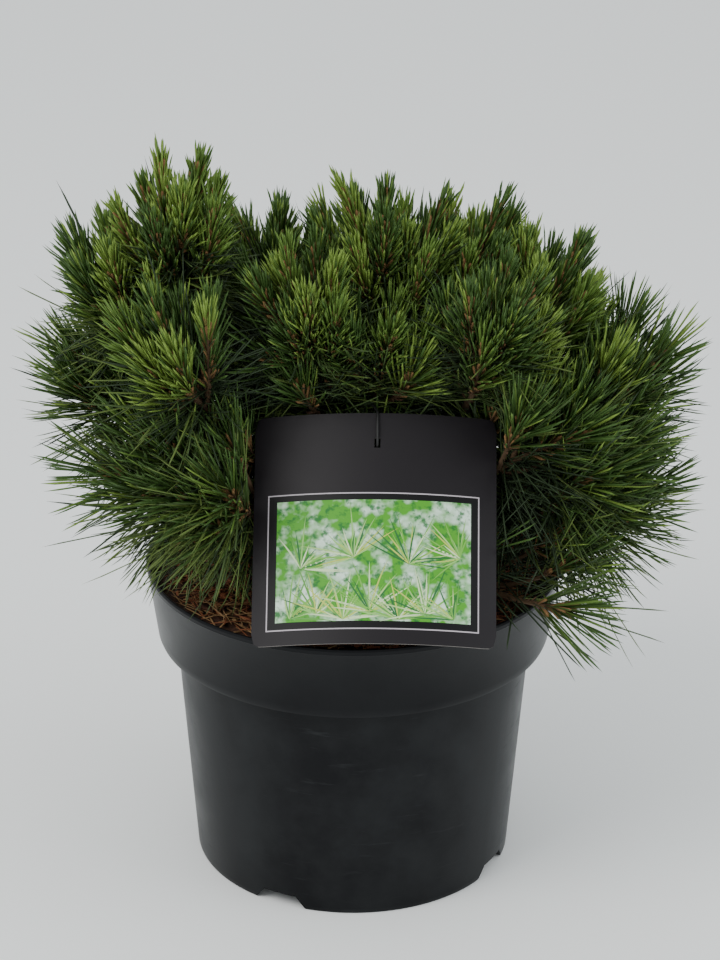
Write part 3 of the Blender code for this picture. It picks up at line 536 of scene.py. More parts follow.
def noise_pattern(material, place, scale, detail, roughness=0.5):
    """Noise at a scale of patterns per metre."""
    settings = {"Scale": scale, "Detail": detail, "Roughness": roughness}
    return add_node(material, "ShaderNodeTexNoise", settings, {"Vector": place}).outputs["Fac"]


def ramp(material, socket, low, high, to_low=0.0, to_high=1.0):
    """Values from low to high, carried over to the range from to_low to to_high."""
    settings = {"From Min": low, "From Max": high, "To Min": to_low, "To Max": to_high}
    return add_node(material, "ShaderNodeMapRange", settings, {"Value": socket}).outputs["Result"]


def combine(material, operation, first, second):
    settings = {"operation": operation}
    return add_node(material, "ShaderNodeMath", settings, {0: first, 1: second}).outputs["Value"]


def blend(material, factor, first, second):
    """Mix of two colours. The first is a constant or a socket, the second a constant."""
    settings = {"data_type": "RGBA", 7: second}
    links = {"Factor": factor}
    if isinstance(first, bpy.types.NodeSocket):
        links[6] = first
    else:
        settings[6] = first
    return add_node(material, "ShaderNodeMix", settings, links).outputs[2]


def emboss(material, shader, height, strength, depth):
    """Fine relief of a depth in metres."""
    settings = {"Strength": strength, "Distance": depth}
    bump = add_node(material, "ShaderNodeBump", settings, {"Height": height})
    material.node_tree.links.new(bump.outputs["Normal"], shader.inputs["Normal"])


def moulded_polypropylene(settings):
    """Injection moulded black polypropylene: satin, with dry dust that dulls it in clouds."""
    material, shader = start_material("moulded_polypropylene", settings.colour, 0.36, 1.49)
    shader.inputs["Specular IOR Level"].default_value = 0.13
    place = object_place(material)
    clouds = noise_pattern(material, place, 26.0, 5.0, 0.62)
    # Scuffs run round the pot, about 3 mm high and 25 mm long
    stretched = add_node(material, "ShaderNodeMapping", {"Scale": (40.0, 40.0, 330.0)}, {"Vector": place})
    scuffs = noise_pattern(material, stretched.outputs["Vector"], 1.0, 3.0, 0.7)
    worn = ramp(material, scuffs, 0.56, 0.78, 0.0, 0.30)
    cloudy = ramp(material, clouds, 0.36, 0.72, 0.0, 0.22)
    dust_and_shade = combine(material, "MAXIMUM", worn, cloudy)
    # Dust lies thinner on the collar, which keeps the collar darker than the body as a painted shade under
    # the foliage
    height = add_node(material, "ShaderNodeSeparateXYZ", {}, {"Vector": place}).outputs["Z"]
    dust_and_shade = combine(material, "MULTIPLY", dust_and_shade, ramp(material, height, 0.112, 0.130, 1.0, 0.35))
    colour_by(material, shader, blend(material, dust_and_shade, settings.colour, settings.dust))
    dull = ramp(material, dust_and_shade, 0.0, 0.30, 0.29, 0.50)
    material.node_tree.links.new(dull, shader.inputs["Roughness"])
    # The moulded skin has an orange peel of about 2 mm
    emboss(material, shader, noise_pattern(material, place, 480.0, 2.0), 0.25, 0.00006)
    return material


def damp_peat(settings):
    """Peat and fine composted bark: quite matt, dark in its hollows and dry brown on its lumps."""
    material, shader = start_material("damp_peat", settings.dark, 0.95)
    crumbs = noise_pattern(material, object_place(material), 420.0, 6.0, 0.7)
    spread = ramp(material, crumbs, 0.35, 0.68)
    colour_by(material, shader, blend(material, spread, settings.dark, settings.light))
    emboss(material, shader, crumbs, 0.8, 0.0008)
    return material


def pine_bark(settings):
    """Young pine bark: thin grey brown flakes over darker, redder furrows, quite matt."""
    material, shader = start_material("pine_bark", settings.bark_light, 0.88)
    place = object_place(material)
    flakes = add_node(
        material, "ShaderNodeTexVoronoi", {"Scale": 1.0 / settings.flake, "feature": "DISTANCE_TO_EDGE"},
        {"Vector": place},
    )
    grain = noise_pattern(material, place, 700.0, 4.0, 0.65)
    joined = combine(material, "MULTIPLY", flakes.outputs["Distance"], grain)
    spread = ramp(material, joined, 0.02, 0.16)
    colour_by(material, shader, blend(material, spread, settings.bark_dark, settings.bark_light))
    emboss(material, shader, spread, 0.7, 0.0004)
    return material


def waxy_needle(name, colour):
    """Pine needle: a smooth waxy skin, so each needle has a soft light along it."""
    material, shader = start_material(name, colour, 0.50, 1.45)
    shader.inputs["Specular IOR Level"].default_value = 0.30
    return material


def dry_plant(name, colour):
    """Dry plant matter, such as a sheath, a chip of bark or a dead needle: matt."""
    return start_material(name, colour, 0.85, 1.45)[0]


def laminated_print(name, colour, roughness=0.46):
    """Ink under a thin matt laminate: even, with a faint broad sheen."""
    material, shader = start_material(name, colour, roughness, 1.5)
    shader.inputs["Specular IOR Level"].default_value = 0.20
    # Handling leaves faint waves in the laminate, about 12 mm wide
    emboss(material, shader, noise_pattern(material, object_place(material), 80.0, 2.0), 0.25, 0.0002)
    return material, shader


def printed_picture(settings):
    """Soft green and white blotches as a plain picture, under the same laminate."""
    material, shader = laminated_print("printed_picture", settings.ground)
    place = add_node(material, "ShaderNodeUVMap", {"uv_map": "print"}).outputs["UV"]
    # Blotches are about 14 mm across, flecks about 4 mm
    blotches = ramp(material, noise_pattern(material, place, 70.0, 3.0, 0.55), 0.46, 0.62)
    flecks = ramp(material, noise_pattern(material, place, 230.0, 4.0, 0.6), 0.50, 0.64, 0.0, 0.9)
    pale = blend(material, blotches, settings.leaf, settings.ground)
    colour_by(material, shader, blend(material, flecks, pale, settings.shade))
    return material


# Meshes

def add_piece(name, mesh, *materials):
    """Make a finished object at the origin, which rides on the one body."""
    for material in materials:
        mesh.materials.append(material)
    piece = bpy.data.objects.new(name, mesh)
    bpy.context.scene.collection.objects.link(piece)
    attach(piece, "root")
    return piece


def mesh_from(name, shape):
    mesh = bpy.data.meshes.new(name)
    shape.to_mesh(mesh)
    shape.free()
    return mesh


def evaluated_mesh(piece):
    """Mesh of an object with its modifiers or bevel, after which the object is removed."""
    graph = bpy.context.evaluated_depsgraph_get()
    graph.update()
    mesh = bpy.data.meshes.new_from_object(piece.evaluated_get(graph))
    bpy.data.objects.remove(piece)
    return mesh


def direction(azimuth, rise):
    """Unit vector at an azimuth round +Z from +X and a rise above level, in degrees."""
    flat = math.cos(math.radians(rise))
    return Vector((
        flat * math.cos(math.radians(azimuth)),
        flat * math.sin(math.radians(azimuth)),
        math.sin(math.radians(rise)),
    ))


def turned(profile, steps):
    """Turn an outline of (radius, height) pairs that starts and ends on the Z axis."""
    shape = bmesh.new()
    line = [shape.verts.new((radius, 0.0, height)) for radius, height in profile]
    edges = [shape.edges.new(pair) for pair in zip(line, line[1:])]
    bmesh.ops.spin(
        shape, geom=line + edges, axis=(0, 0, 1), cent=(0, 0, 0), angle=2 * math.pi, steps=steps,
        use_merge=True,
    )
    bmesh.ops.remove_doubles(shape, verts=shape.verts, dist=MERGE_DISTANCE)
    bmesh.ops.recalc_face_normals(shape, faces=shape.faces)
    return shape


def tubes(name, lines, sides_doubling, closed=False):
    """Round tubes along lines of points with radii, as one mesh with closed ends."""
    curve = bpy.data.curves.new(name, "CURVE")
    curve.dimensions = "3D"
    curve.bevel_depth = 1.0
    curve.bevel_resolution = sides_doubling
    curve.use_fill_caps = not closed
    for points, radii in lines:
        spline = curve.splines.new("POLY")
        spline.points.add(len(points) - 1)
        spline.use_cyclic_u = closed
        for target, point, radius in zip(spline.points, points, radii):
            target.co = (*point, 1.0)
            target.radius = radius
    wire = bpy.data.objects.new(name, curve)
    bpy.context.scene.collection.objects.link(wire)
    mesh = evaluated_mesh(wire)
    shape = bmesh.new()
    shape.from_mesh(mesh)
    bmesh.ops.remove_doubles(shape, verts=shape.verts, dist=MERGE_DISTANCE)
    bmesh.ops.recalc_face_normals(shape, faces=shape.faces)
    shape.to_mesh(mesh)
    shape.free()
    mesh.materials.clear()
    return mesh


# Pot and its filling

def inner_wall(pot):
    """Inside of the wall from the floor to the rim, as (radius, height) pairs."""
    floor_top = CHANNEL_HEIGHT + FLOOR
    body = pot.foot_radius + (pot.body_radius - pot.foot_radius) * floor_top / pot.collar_bottom
    return [
        (body - pot.wall, floor_top),
        (pot.body_radius - pot.wall, pot.collar_bottom - pot.wall),
        (pot.collar_radius - pot.wall, pot.collar_bottom + COLLAR_ROUND),
    ]


def pot_outline(pot):
    inside = [
        (0.0, FLOOR),
        (PAD_RADIUS - pot.wall, FLOOR),
        (PAD_RADIUS - pot.wall + CHANNEL_SLOPE, CHANNEL_HEIGHT + FLOOR),
    ]
    lip = [
        (pot.rim_radius - pot.wall, pot.height - RIM_ROUND / 2),
        (pot.rim_radius - pot.wall + RIM_ROUND / 2, pot.height),
        (pot.rim_radius - RIM_ROUND / 2, pot.height),
        (pot.rim_radius, pot.height - RIM_ROUND),
        (pot.rim_radius - LIP_DRAFT, pot.height - LIP_HEIGHT),
        (pot.rim_radius - LIP_DEPTH, pot.height - LIP_FOOT_HEIGHT),
    ]
    collar_foot = [
        (pot.collar_radius + COLLAR_FLARE, pot.collar_bottom + COLLAR_ROUND + COLLAR_FLARE_HEIGHT),
        (pot.collar_radius, pot.collar_bottom + COLLAR_ROUND),
        (pot.collar_radius - COLLAR_ROUND_WIDTH, pot.collar_bottom + COLLAR_ROUND_HEIGHT),
        (pot.collar_radius - COLLAR_ROUND, pot.collar_bottom),
        (pot.body_radius + COLLAR_FILLET, pot.collar_bottom - COLLAR_FILLET_DROP),
        (pot.body_radius, pot.collar_bottom - BODY_TOP_DROP),
    ]
    foot = [
        (pot.foot_radius + FOOT_FLARE, FOOT_FLARE_HEIGHT),
        (pot.foot_radius, FOOT_ROUND),
        (pot.foot_radius - FOOT_ROUND / 3, FOOT_ROUND / 3),
        (pot.foot_radius - FOOT_ROUND, 0.0),
        (pot.foot_radius - FOOT_ROUND - pot.wall, 0.0),
        (pot.foot_radius - FOOT_ROUND - pot.wall, CHANNEL_HEIGHT),
        (PAD_RADIUS + CHANNEL_SLOPE, CHANNEL_HEIGHT),
        (PAD_RADIUS, 0.0),
        (0.0, 0.0),
    ]
    return inside + inner_wall(pot) + lip + collar_foot + foot


def foot_cutters(pot):
    """Wedges for the notches and rods for the drain holes, as one mesh."""
    shape = bmesh.new()
    for index in range(NOTCH_COUNT):
        azimuth = FIRST_NOTCH_AZIMUTH + index * 360.0 / NOTCH_COUNT
        wedge = bmesh.ops.create_cube(shape, size=1.0)["verts"]
        for vertex in wedge:
            at_top = vertex.co.z > 0
            width = NOTCH_TOP_WIDTH if at_top else NOTCH_GROUND_WIDTH + NOTCH_EXTRA
            vertex.co.x = pot.foot_radius + math.copysign(3 * pot.wall, vertex.co.x)
            vertex.co.y = math.copysign(width / 2, vertex.co.y)
            vertex.co.z = NOTCH_HEIGHT if at_top else -FOOT_ROUND
        bmesh.ops.rotate(shape, verts=wedge, matrix=Matrix.Rotation(math.radians(azimuth), 3, "Z"))
        centre = direction(azimuth, 0) * DRAIN_CENTRE_RADIUS
        bmesh.ops.create_cone(
            shape, cap_ends=True, segments=DRAIN_STEPS, radius1=DRAIN_RADIUS, radius2=DRAIN_RADIUS,
            depth=3 * FLOOR, matrix=Matrix.Translation((centre.x, centre.y, CHANNEL_HEIGHT + FLOOR / 2)),
        )
    return shape


def model_pot(pot):
    body = bpy.data.objects.new("body", mesh_from("pot_shell", turned(pot_outline(pot), POT_STEPS)))
    cutter = bpy.data.objects.new("cutter", mesh_from("cutter", foot_cutters(pot)))
    bpy.context.scene.collection.objects.link(body)
    bpy.context.scene.collection.objects.link(cutter)
    cut = body.modifiers.new("cut", "BOOLEAN")
    cut.object = cutter
    cut.solver = "EXACT"
    mesh = evaluated_mesh(body)
    bpy.data.objects.remove(cutter)
    mesh.shade_smooth()
    mesh.set_sharp_from_angle(angle=math.radians(POT_SHARP_ANGLE))
    piece = add_piece("pot_shell", mesh, moulded_polypropylene(pot))
    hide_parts("pot")


def soil_height(x, y):
    """Height of the filling's mounded top, without its lumps."""
    away = math.hypot(x, y)
    down = min(max((away - SOIL_FLAT_RADIUS) / (SOIL_SLOPE_RADIUS - SOIL_FLAT_RADIUS), 0.0), 1.0)
    return SOIL_TOP_HEIGHT - (SOIL_TOP_HEIGHT - SOIL_EDGE_HEIGHT) * down ** SOIL_SLOPE_POWER


def model_soil(pot, soil):
    inside = [(radius - SOIL_GAP, height + SOIL_GAP) for radius, height in inner_wall(pot)]
    rings = [SOIL_EDGE_RADIUS * step / SOIL_RINGS for step in range(1, SOIL_RINGS + 1)]
    top = [(0.0, SOIL_TOP_HEIGHT)] + [(radius, soil_height(radius, 0.0)) for radius in rings]
    pad = [
        (PAD_RADIUS - pot.wall + CHANNEL_SLOPE - SOIL_GAP, CHANNEL_HEIGHT + FLOOR + SOIL_GAP),
        (PAD_RADIUS - pot.wall - SOIL_GAP, FLOOR + SOIL_GAP),
        (0.0, FLOOR + SOIL_GAP),
    ]
    shape = turned(top + inside[::-1] + pad, SOIL_STEPS)
    for vertex in shape.verts:
        if vertex.co.z > SOIL_EDGE_HEIGHT - 0.0001:
            away = math.hypot(vertex.co.x, vertex.co.y)
            inward = min(max((SOIL_EDGE_RADIUS - away) / CALM_BAND, 0.0), 1.0)
            lump = LUMP_SHARE * noise.noise(vertex.co * LUMPS)
            crumb = CRUMB_SHARE * noise.noise(vertex.co * CRUMBS)
            vertex.co.z += soil.roughness * (lump + crumb) * inward
    mesh = mesh_from("peat_mound", shape)
    mesh.shade_smooth()
    piece = add_piece("peat_mound", mesh, damp_peat(soil))
    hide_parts("growing_medium")


# Blades: one small mesh dealt out many times

def blade_template(rings):
    """A three sided blade from z 0 to z 1, closed at its root and pointed at its tip.
    Each ring is (height, width), with the width as a share of the blade's own."""
    shape = bmesh.new()
    height, width = rings[0]
    bmesh.ops.create_circle(shape, cap_ends=True, segments=3, radius=width / 2)
    bmesh.ops.translate(shape, verts=shape.verts, vec=(0, 0, height))
    face = list(shape.faces)[0]
    for upper, wide in rings[1:]:
        made = bmesh.ops.extrude_face_region(shape, geom=[face])["geom"]
        bmesh.ops.delete(shape, geom=[face], context="FACES_ONLY")
        face = [item for item in made if isinstance(item, bmesh.types.BMFace)][0]
        corners = list(face.verts)
        wide = max(wide, LEAST_WIDTH)
        bmesh.ops.scale(shape, verts=corners, vec=(wide / width, wide / width, 1.0))
        bmesh.ops.translate(shape, verts=corners, vec=(0, 0, upper - height))
        height, width = upper, wide
    bmesh.ops.pointmerge(shape, verts=list(face.verts), merge_co=(0, 0, height))
    bmesh.ops.create_circle(shape, cap_ends=True, segments=3, radius=rings[0][1] / 2)
    bmesh.ops.remove_doubles(shape, verts=shape.verts, dist=0.001)
    bmesh.ops.triangulate(shape, faces=shape.faces)
    bmesh.ops.recalc_face_normals(shape, faces=shape.faces)
    shape.verts.index_update()
    points = np.array([tuple(vertex.co) for vertex in shape.verts])
    faces = np.array([[vertex.index for vertex in face.verts] for face in shape.faces])
    shape.free()
    return points, faces


def sides_of(aims):
    """Two unit directions square to each aim."""
    helper = np.where(np.abs(aims[:, 2:]) < 0.9, [[0.0, 0.0, 1.0]], [[1.0, 0.0, 0.0]])
    wide = np.cross(aims, helper)
    wide /= np.linalg.norm(wide, axis=1)[:, None]
    return wide, np.cross(wide, aims)


class Blades:
    """Collects blades of one kind, then makes them into joined pieces."""

    def __init__(self, template, thin):
        self.points, self.faces = template
        self.thin = thin
        self.batches = []

    def add(self, roots, aims, bends, lengths, widths, tones):
        """Bends are sideways offsets of the tips, in metres. Tones are material places."""
        self.batches.append((roots, aims, bends, lengths, widths, tones))

    def count(self):
        return sum(len(batch[0]) for batch in self.batches)

    def arrays(self, first, last):
        joined = [np.concatenate(column) for column in zip(*self.batches)]
        return [column[first:last] for column in joined]

    def mesh(self, name, first, last, seed):
        roots, aims, bends, lengths, widths, tones = self.arrays(first, last)
        wide, flat = sides_of(aims)
        turn = np.random.default_rng(seed).uniform(0, 2 * math.pi, len(roots))[:, None]
        wide, flat = wide * np.cos(turn) + flat * np.sin(turn), flat * np.cos(turn) - wide * np.sin(turn)
        x, y, z = self.points.T
        places = roots[:, None, :] + aims[:, None, :] * (lengths[:, None] * z)[:, :, None]
        places = places + bends[:, None, :] * (z ** 2)[None, :, None]
        places = places + wide[:, None, :] * (widths[:, None] * x)[:, :, None]
        places = places + flat[:, None, :] * (widths[:, None] * y * self.thin)[:, :, None]
        count = len(roots)
        corners = self.faces[None] + (np.arange(count) * len(self.points))[:, None, None]
        mesh = bpy.data.meshes.new(name)
        mesh.vertices.add(count * len(self.points))
        mesh.vertices.foreach_set("co", places.astype(np.float32).ravel())
        mesh.loops.add(corners.size)
        mesh.loops.foreach_set("vertex_index", corners.astype(np.int32).ravel())
        mesh.polygons.add(count * len(self.faces))
        mesh.polygons.foreach_set("loop_start", np.arange(0, corners.size, 3, dtype=np.int32))
        mesh.polygons.foreach_set("material_index", np.repeat(tones, len(self.faces)).astype(np.int32))
        mesh.update(calc_edges=True)
        mesh.shade_smooth()
        return mesh

    def pieces(self, name, materials, slot_name, replaced=()):
        """Make numbered pieces that each keep below the most triangles."""
        most = MOST_TRIANGLES // len(self.faces)
        for number, first in enumerate(range(0, self.count(), most)):
            mesh = self.mesh(name, first, first + most, number)
            piece = add_piece(f"{name}_{number + 1}", mesh, *materials)
            if replaced:
                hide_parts(*replaced)


def model_litter(soil):
    """Dry needles, fibres and chips of bark that lie on the peat."""
    dice = np.random.default_rng(41)
    materials = [
        dry_plant("dry_fibre_red", soil.fibre_red), dry_plant("dry_fibre_tan", soil.fibre_tan),
        dry_plant("bark_chip", soil.chip),
    ]
    # Name, rings, thickness, count, lengths, widths and shares of the three materials
    groups = (
        ("dry_fibres", SHORT_BLADE, 0.5, soil.fibres, (0.006, 0.030), (0.0005, 0.0012), (0.60, 0.40, 0.0)),
        ("bark_chips", CHIP_BLADE, 0.35, soil.chips, (0.003, 0.010), (0.0025, 0.0055), (0.30, 0.05, 0.65)),
    )
    for name, rings, thin, count, lengths, widths, shares in groups:
        blades = Blades(blade_template(rings), thin)
        away = LITTER_RADIUS * np.sqrt(dice.uniform(0.01, 1.0, count))
        azimuth = dice.uniform(0, 2 * math.pi, count)
        long = dice.uniform(*lengths, count)
        turn = dice.uniform(0, 2 * math.pi, count)
        roots = np.stack([away * np.cos(azimuth), away * np.sin(azimuth), np.zeros(count)], 1)
        aims = np.stack([np.cos(turn), np.sin(turn), dice.normal(0.0, 0.10, count)], 1)
        aims /= np.linalg.norm(aims, axis=1)[:, None]
        tips = roots + aims * long[:, None]
        inside = np.hypot(tips[:, 0], tips[:, 1]) < LITTER_REACH
        roots, aims, long = roots[inside], aims[inside], long[inside]
        ground = np.array([soil_height(x, y) for x, y in roots[:, :2]])
        roots[:, 2] = ground + dice.uniform(*LITTER_HEIGHTS, len(roots))
        bends = dice.normal(0.0, 0.06, (len(roots), 3)) * long[:, None]
        bends[:, 2] *= 0.3
        wide = dice.uniform(*widths, len(roots))
        tones = dice.choice(3, len(roots), p=shares)
        blades.add(roots, aims, bends, long, wide, tones)
        blades.pieces(name, materials, "bark_mix")


# Limbs

def bezier(start, bend, end, count):
    """Points along a curve that leaves start and reaches end by way of one bend."""
    points = []
    for index in range(count):
        place = index / (count - 1)
        points.append(start * (1 - place) ** 2 + bend * 2 * place * (1 - place) + end * place ** 2)
    return points


def along(points, place):
    """Point at a place from 0 to 1 along a line of points."""
    scaled = place * (len(points) - 1)
    index = min(int(scaled), len(points) - 2)
    return points[index].lerp(points[index + 1], scaled - index)


def tapering(root_radius, tip_radius, count):
    """Radii that change evenly from the root to the tip."""
    return [root_radius + (tip_radius - root_radius) * index / (count - 1) for index in range(count)]


def trunk_line():
    """The trunk leaves its flat cut upright, then leans and bows a little."""
    points = []
    radii = []
    for index in range(TRUNK_POINTS):
        place = (index / (TRUNK_POINTS - 1)) ** TRUNK_POINT_POWER
        leaning = max(index - 1, 0) / (TRUNK_POINTS - 2)
        bow = math.sin(leaning * math.pi) * TRUNK_BOW
        point = TRUNK_FOOT.lerp(TRUNK_FORK, leaning) + Vector((-bow, bow, 0.0))
        point.z = TRUNK_FOOT.z + (TRUNK_FORK.z - TRUNK_FOOT.z) * place
        points.append(point)
        flare = FLARE_EXTRA * math.exp((TRUNK_FOOT.z - point.z) / FLARE_RISE)
        radii.append(TRUNK_RADIUS + (TRUNK_FORK_RADIUS - TRUNK_RADIUS) * place + flare)
    return points, radii


def tuft_line(tip):
    """First and last point of a mass's stem, and the direction in which it grows."""
    azimuth = math.degrees(math.atan2(tip.y - TRUNK_FORK.y, tip.x - TRUNK_FORK.x))
    upright = (tip.z - ROUND_HEIGHT) / (UPRIGHT_HEIGHT - ROUND_HEIGHT)
    rise = LEVEL_RISE + (MOST_RISE - LEVEL_RISE) * min(upright, 1.0)
    growth = direction(azimuth, rise)
    reach = math.hypot(tip.x - TRUNK_FORK.x, tip.y - TRUNK_FORK.y)
    inward = STEM_SHARE * reach + TRUNK_CLEARANCE
    length = min(STEM_LENGTH, inward / math.cos(math.radians(rise)))
    return tip - growth * length, tip - growth * BRUSH_LENGTH, growth


class Plan:
    """Where every limb and mass runs, by the same rule as the solids."""

    def __init__(self):
        points, radii = trunk_line()
        self.limbs = {"trunk": (points, radii)}
        self.parents = {}
        self.axes = {}
        self.growths = {}
        self.tips = {}
        for name, parent, place, tip_mm in TUFTS:
            furthest = Vector(tip_mm) / 1000.0
            base, tip, growth = tuft_line(furthest)
            parent_points = self.limbs[parent][0]
            start = along(parent_points, place)
            thick = MAIN_RADIUS if parent == "trunk" else SIDE_RADIUS
            run = base - start
            bend = start + Vector((run.x * BEND_RUN, run.y * BEND_RUN, run.z * BEND_RISE))
            points = bezier(start, bend, base, BOUGH_POINTS)
            self.limbs[name] = (points, tapering(thick, TIP_RADIUS, BOUGH_POINTS))
            self.parents[name] = parent
            self.axes[name] = (base, tip)
            self.growths[name] = growth
            self.tips[name] = furthest

    def node_of(self, name):
        if name == "trunk":
            return "trunk"
        kind = "main_bough_" if self.parents[name] == "trunk" else "side_bough_"
        return kind + name

    def stem(self, name):
        """Stem of a mass, from its bough's tip to its leading shoot."""
        base, tip = self.axes[name]
        bough = self.limbs[name][0]
        onward = (bough[-1] - bough[-2]).normalized()
        bend = base + (onward + self.growths[name]).normalized() * (tip - base).length * 0.5
        return bezier(base, bend, tip, STEM_POINTS)


def finer(points, radii, times):
    """The same line with more points, eased through the old ones."""
    count = (len(points) - 1) * times + 1
    smooth_points = []
    smooth_radii = []
    for index in range(count):
        place = index / (count - 1)
        before = along(points, max(place - 0.5 / (len(points) - 1), 0.0))
        after = along(points, min(place + 0.5 / (len(points) - 1), 1.0))
        middle = along(points, place)
        at_end = index in (0, count - 1)
        smooth_points.append(middle if at_end else middle * 0.5 + (before + after) * 0.25)
        scaled = place * (len(radii) - 1)
        low = min(int(scaled), len(radii) - 2)
        smooth_radii.append(radii[low] + (radii[low + 1] - radii[low]) * (scaled - low))
    return smooth_points, smooth_radii


def model_limbs(limb, plan):
    """Trunk and boughs as one piece, with flakes of bark standing out of it."""
    lines = [
        finer(points, radii, FINER_TRUNK if name == "trunk" else FINER_BOUGHS)
        for name, (points, radii) in plan.limbs.items()
    ]
    mesh = tubes("bark_limbs", lines, 5)
    shape = bmesh.new()
    shape.from_mesh(mesh)
    shape.normal_update()
    for vertex in shape.verts:
        distances, _ = noise.voronoi(vertex.co / limb.flake * RELIEF_FLAKE)
        flake = min((distances[1] - distances[0]) * RELIEF_RISE, 1.0)
        rough = noise.noise(vertex.co * RELIEF_GRAIN)
        vertex.co += vertex.normal * limb.relief * (flake - RELIEF_MIDDLE + RELIEF_ROUGH * rough)
    shape.to_mesh(mesh)
    shape.free()
    mesh.shade_smooth()
    piece = add_piece("bark_limbs", mesh, pine_bark(limb))
    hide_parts(*[plan.node_of(name) for name in plan.limbs])


# Hang card and its loop

def card_frame():
    """Directions across the card, up it and out of its face, before it is bowed."""
    yaw = math.radians(CARD_YAW)
    lean = math.radians(CARD_LEAN)
    across = Vector((math.cos(yaw), math.sin(yaw), 0.0))
    level_out = Vector((math.sin(yaw), -math.cos(yaw), 0.0))
    upward = Vector((0.0, 0.0, 1.0)) * math.cos(lean) - level_out * math.sin(lean)
    outward = level_out * math.cos(lean) + Vector((0.0, 0.0, 1.0)) * math.sin(lean)
    turn = Matrix.Rotation(math.radians(-CARD_ROLL), 3, outward)
    return turn @ across, turn @ upward, outward


def card_point(card, across_place, up_place, out_place=0.0):
    """World place of a point that is given on the flat card."""
    across, upward, outward = card_frame()
    bow = card.bow * (1.0 - (2.0 * across_place / card.width) ** 2)
    return CARD_FOOT + across * across_place + upward * up_place + outward * (bow + out_place)


def clear_of_card(card, points):
    """True for each row of sampled points, unless one is in or in front of the card."""
    across, upward, outward = (np.array(axis) for axis in card_frame())
    offset = points - np.array(CARD_FOOT)
    across_place = offset @ across
    up_place = offset @ upward
    bow = card.bow * (1.0 - (2.0 * across_place / card.width) ** 2)
    beside = np.abs(across_place) > card.width / 2 + CARD_MARGIN
    beside |= (up_place > card.height + CARD_MARGIN) | (up_place < -CARD_MARGIN)
    return np.all(beside | (offset @ outward < bow - CARD_MARGIN), axis=-1)


def clear_of_pot(pot, points):
    """True for each row of sampled points, unless one is in the pot's wall or its filling."""
    away = np.hypot(points[..., 0], points[..., 1])
    height = points[..., 2]
    outside = away > pot.rim_radius + POT_MARGIN
    above = height > pot.height + POT_MARGIN
    within = (away < pot.rim_radius - pot.wall - WALL_MARGIN) & (height > SOIL_TOP_HEIGHT + OVER_SOIL)
    return np.all(outside | above | within, axis=-1)


def in_box(points):
    """True for each row of sampled points that all keep to the solids' box, with its allowance."""
    low = np.array(CAD_LOW)
    high = np.array(CAD_HIGH)
    spare = (high - low) * STAND_OUT_SHARE + STAND_OUT
    kept = (points > low - spare) & (points < high + spare) & (points[..., 2:] > GROUND_MARGIN)
    return np.all(np.all(kept, axis=-1), axis=-1)


def in_shaded_hollow(points):
    """True in the shaded hollows between the boughs at the front, where little grows and the needles take
    the deepest tone as painted shade.
    """
    inside = np.zeros(points.shape[:-1], bool)
    for low, high in SHADED_HOLLOWS:
        inside |= np.all((points > np.array(low)) & (points < np.array(high)), axis=-1)
    return inside


def card_sheet(left, right, bottom, top, columns):
    """Flat grid in card places, with x across and y up."""
    shape = bmesh.new()
    bmesh.ops.create_grid(shape, x_segments=columns, y_segments=max(2, columns // 2), size=0.5)
    for vertex in shape.verts:
        vertex.co.x = left + (vertex.co.x + 0.5) * (right - left)
        vertex.co.y = bottom + (vertex.co.y + 0.5) * (top - bottom)
    return shape


def cut_sheet(shape, axis, place):
    """Cut a flat sheet across at a place along one axis, without parting it."""
    spot = Vector((0.0, 0.0, 0.0))
    spot[axis] = place
    normal = Vector((0.0, 0.0, 0.0))
    normal[axis] = 1.0
    everything = list(shape.verts) + list(shape.edges) + list(shape.faces)
    bmesh.ops.bisect_plane(shape, geom=everything, plane_co=spot, plane_no=normal)


def bow_shape(card, shape, lift):
    for vertex in shape.verts:
        vertex.co = card_point(card, vertex.co.x, vertex.co.y, lift + vertex.co.z)


def face_out(shape):
    """Turn an open sheet so that its faces look out of the card's face."""
    outward = card_frame()[2]
    shape.normal_update()
    turned_in = [face for face in shape.faces if face.normal.dot(outward) < 0]
    bmesh.ops.reverse_faces(shape, faces=turned_in)


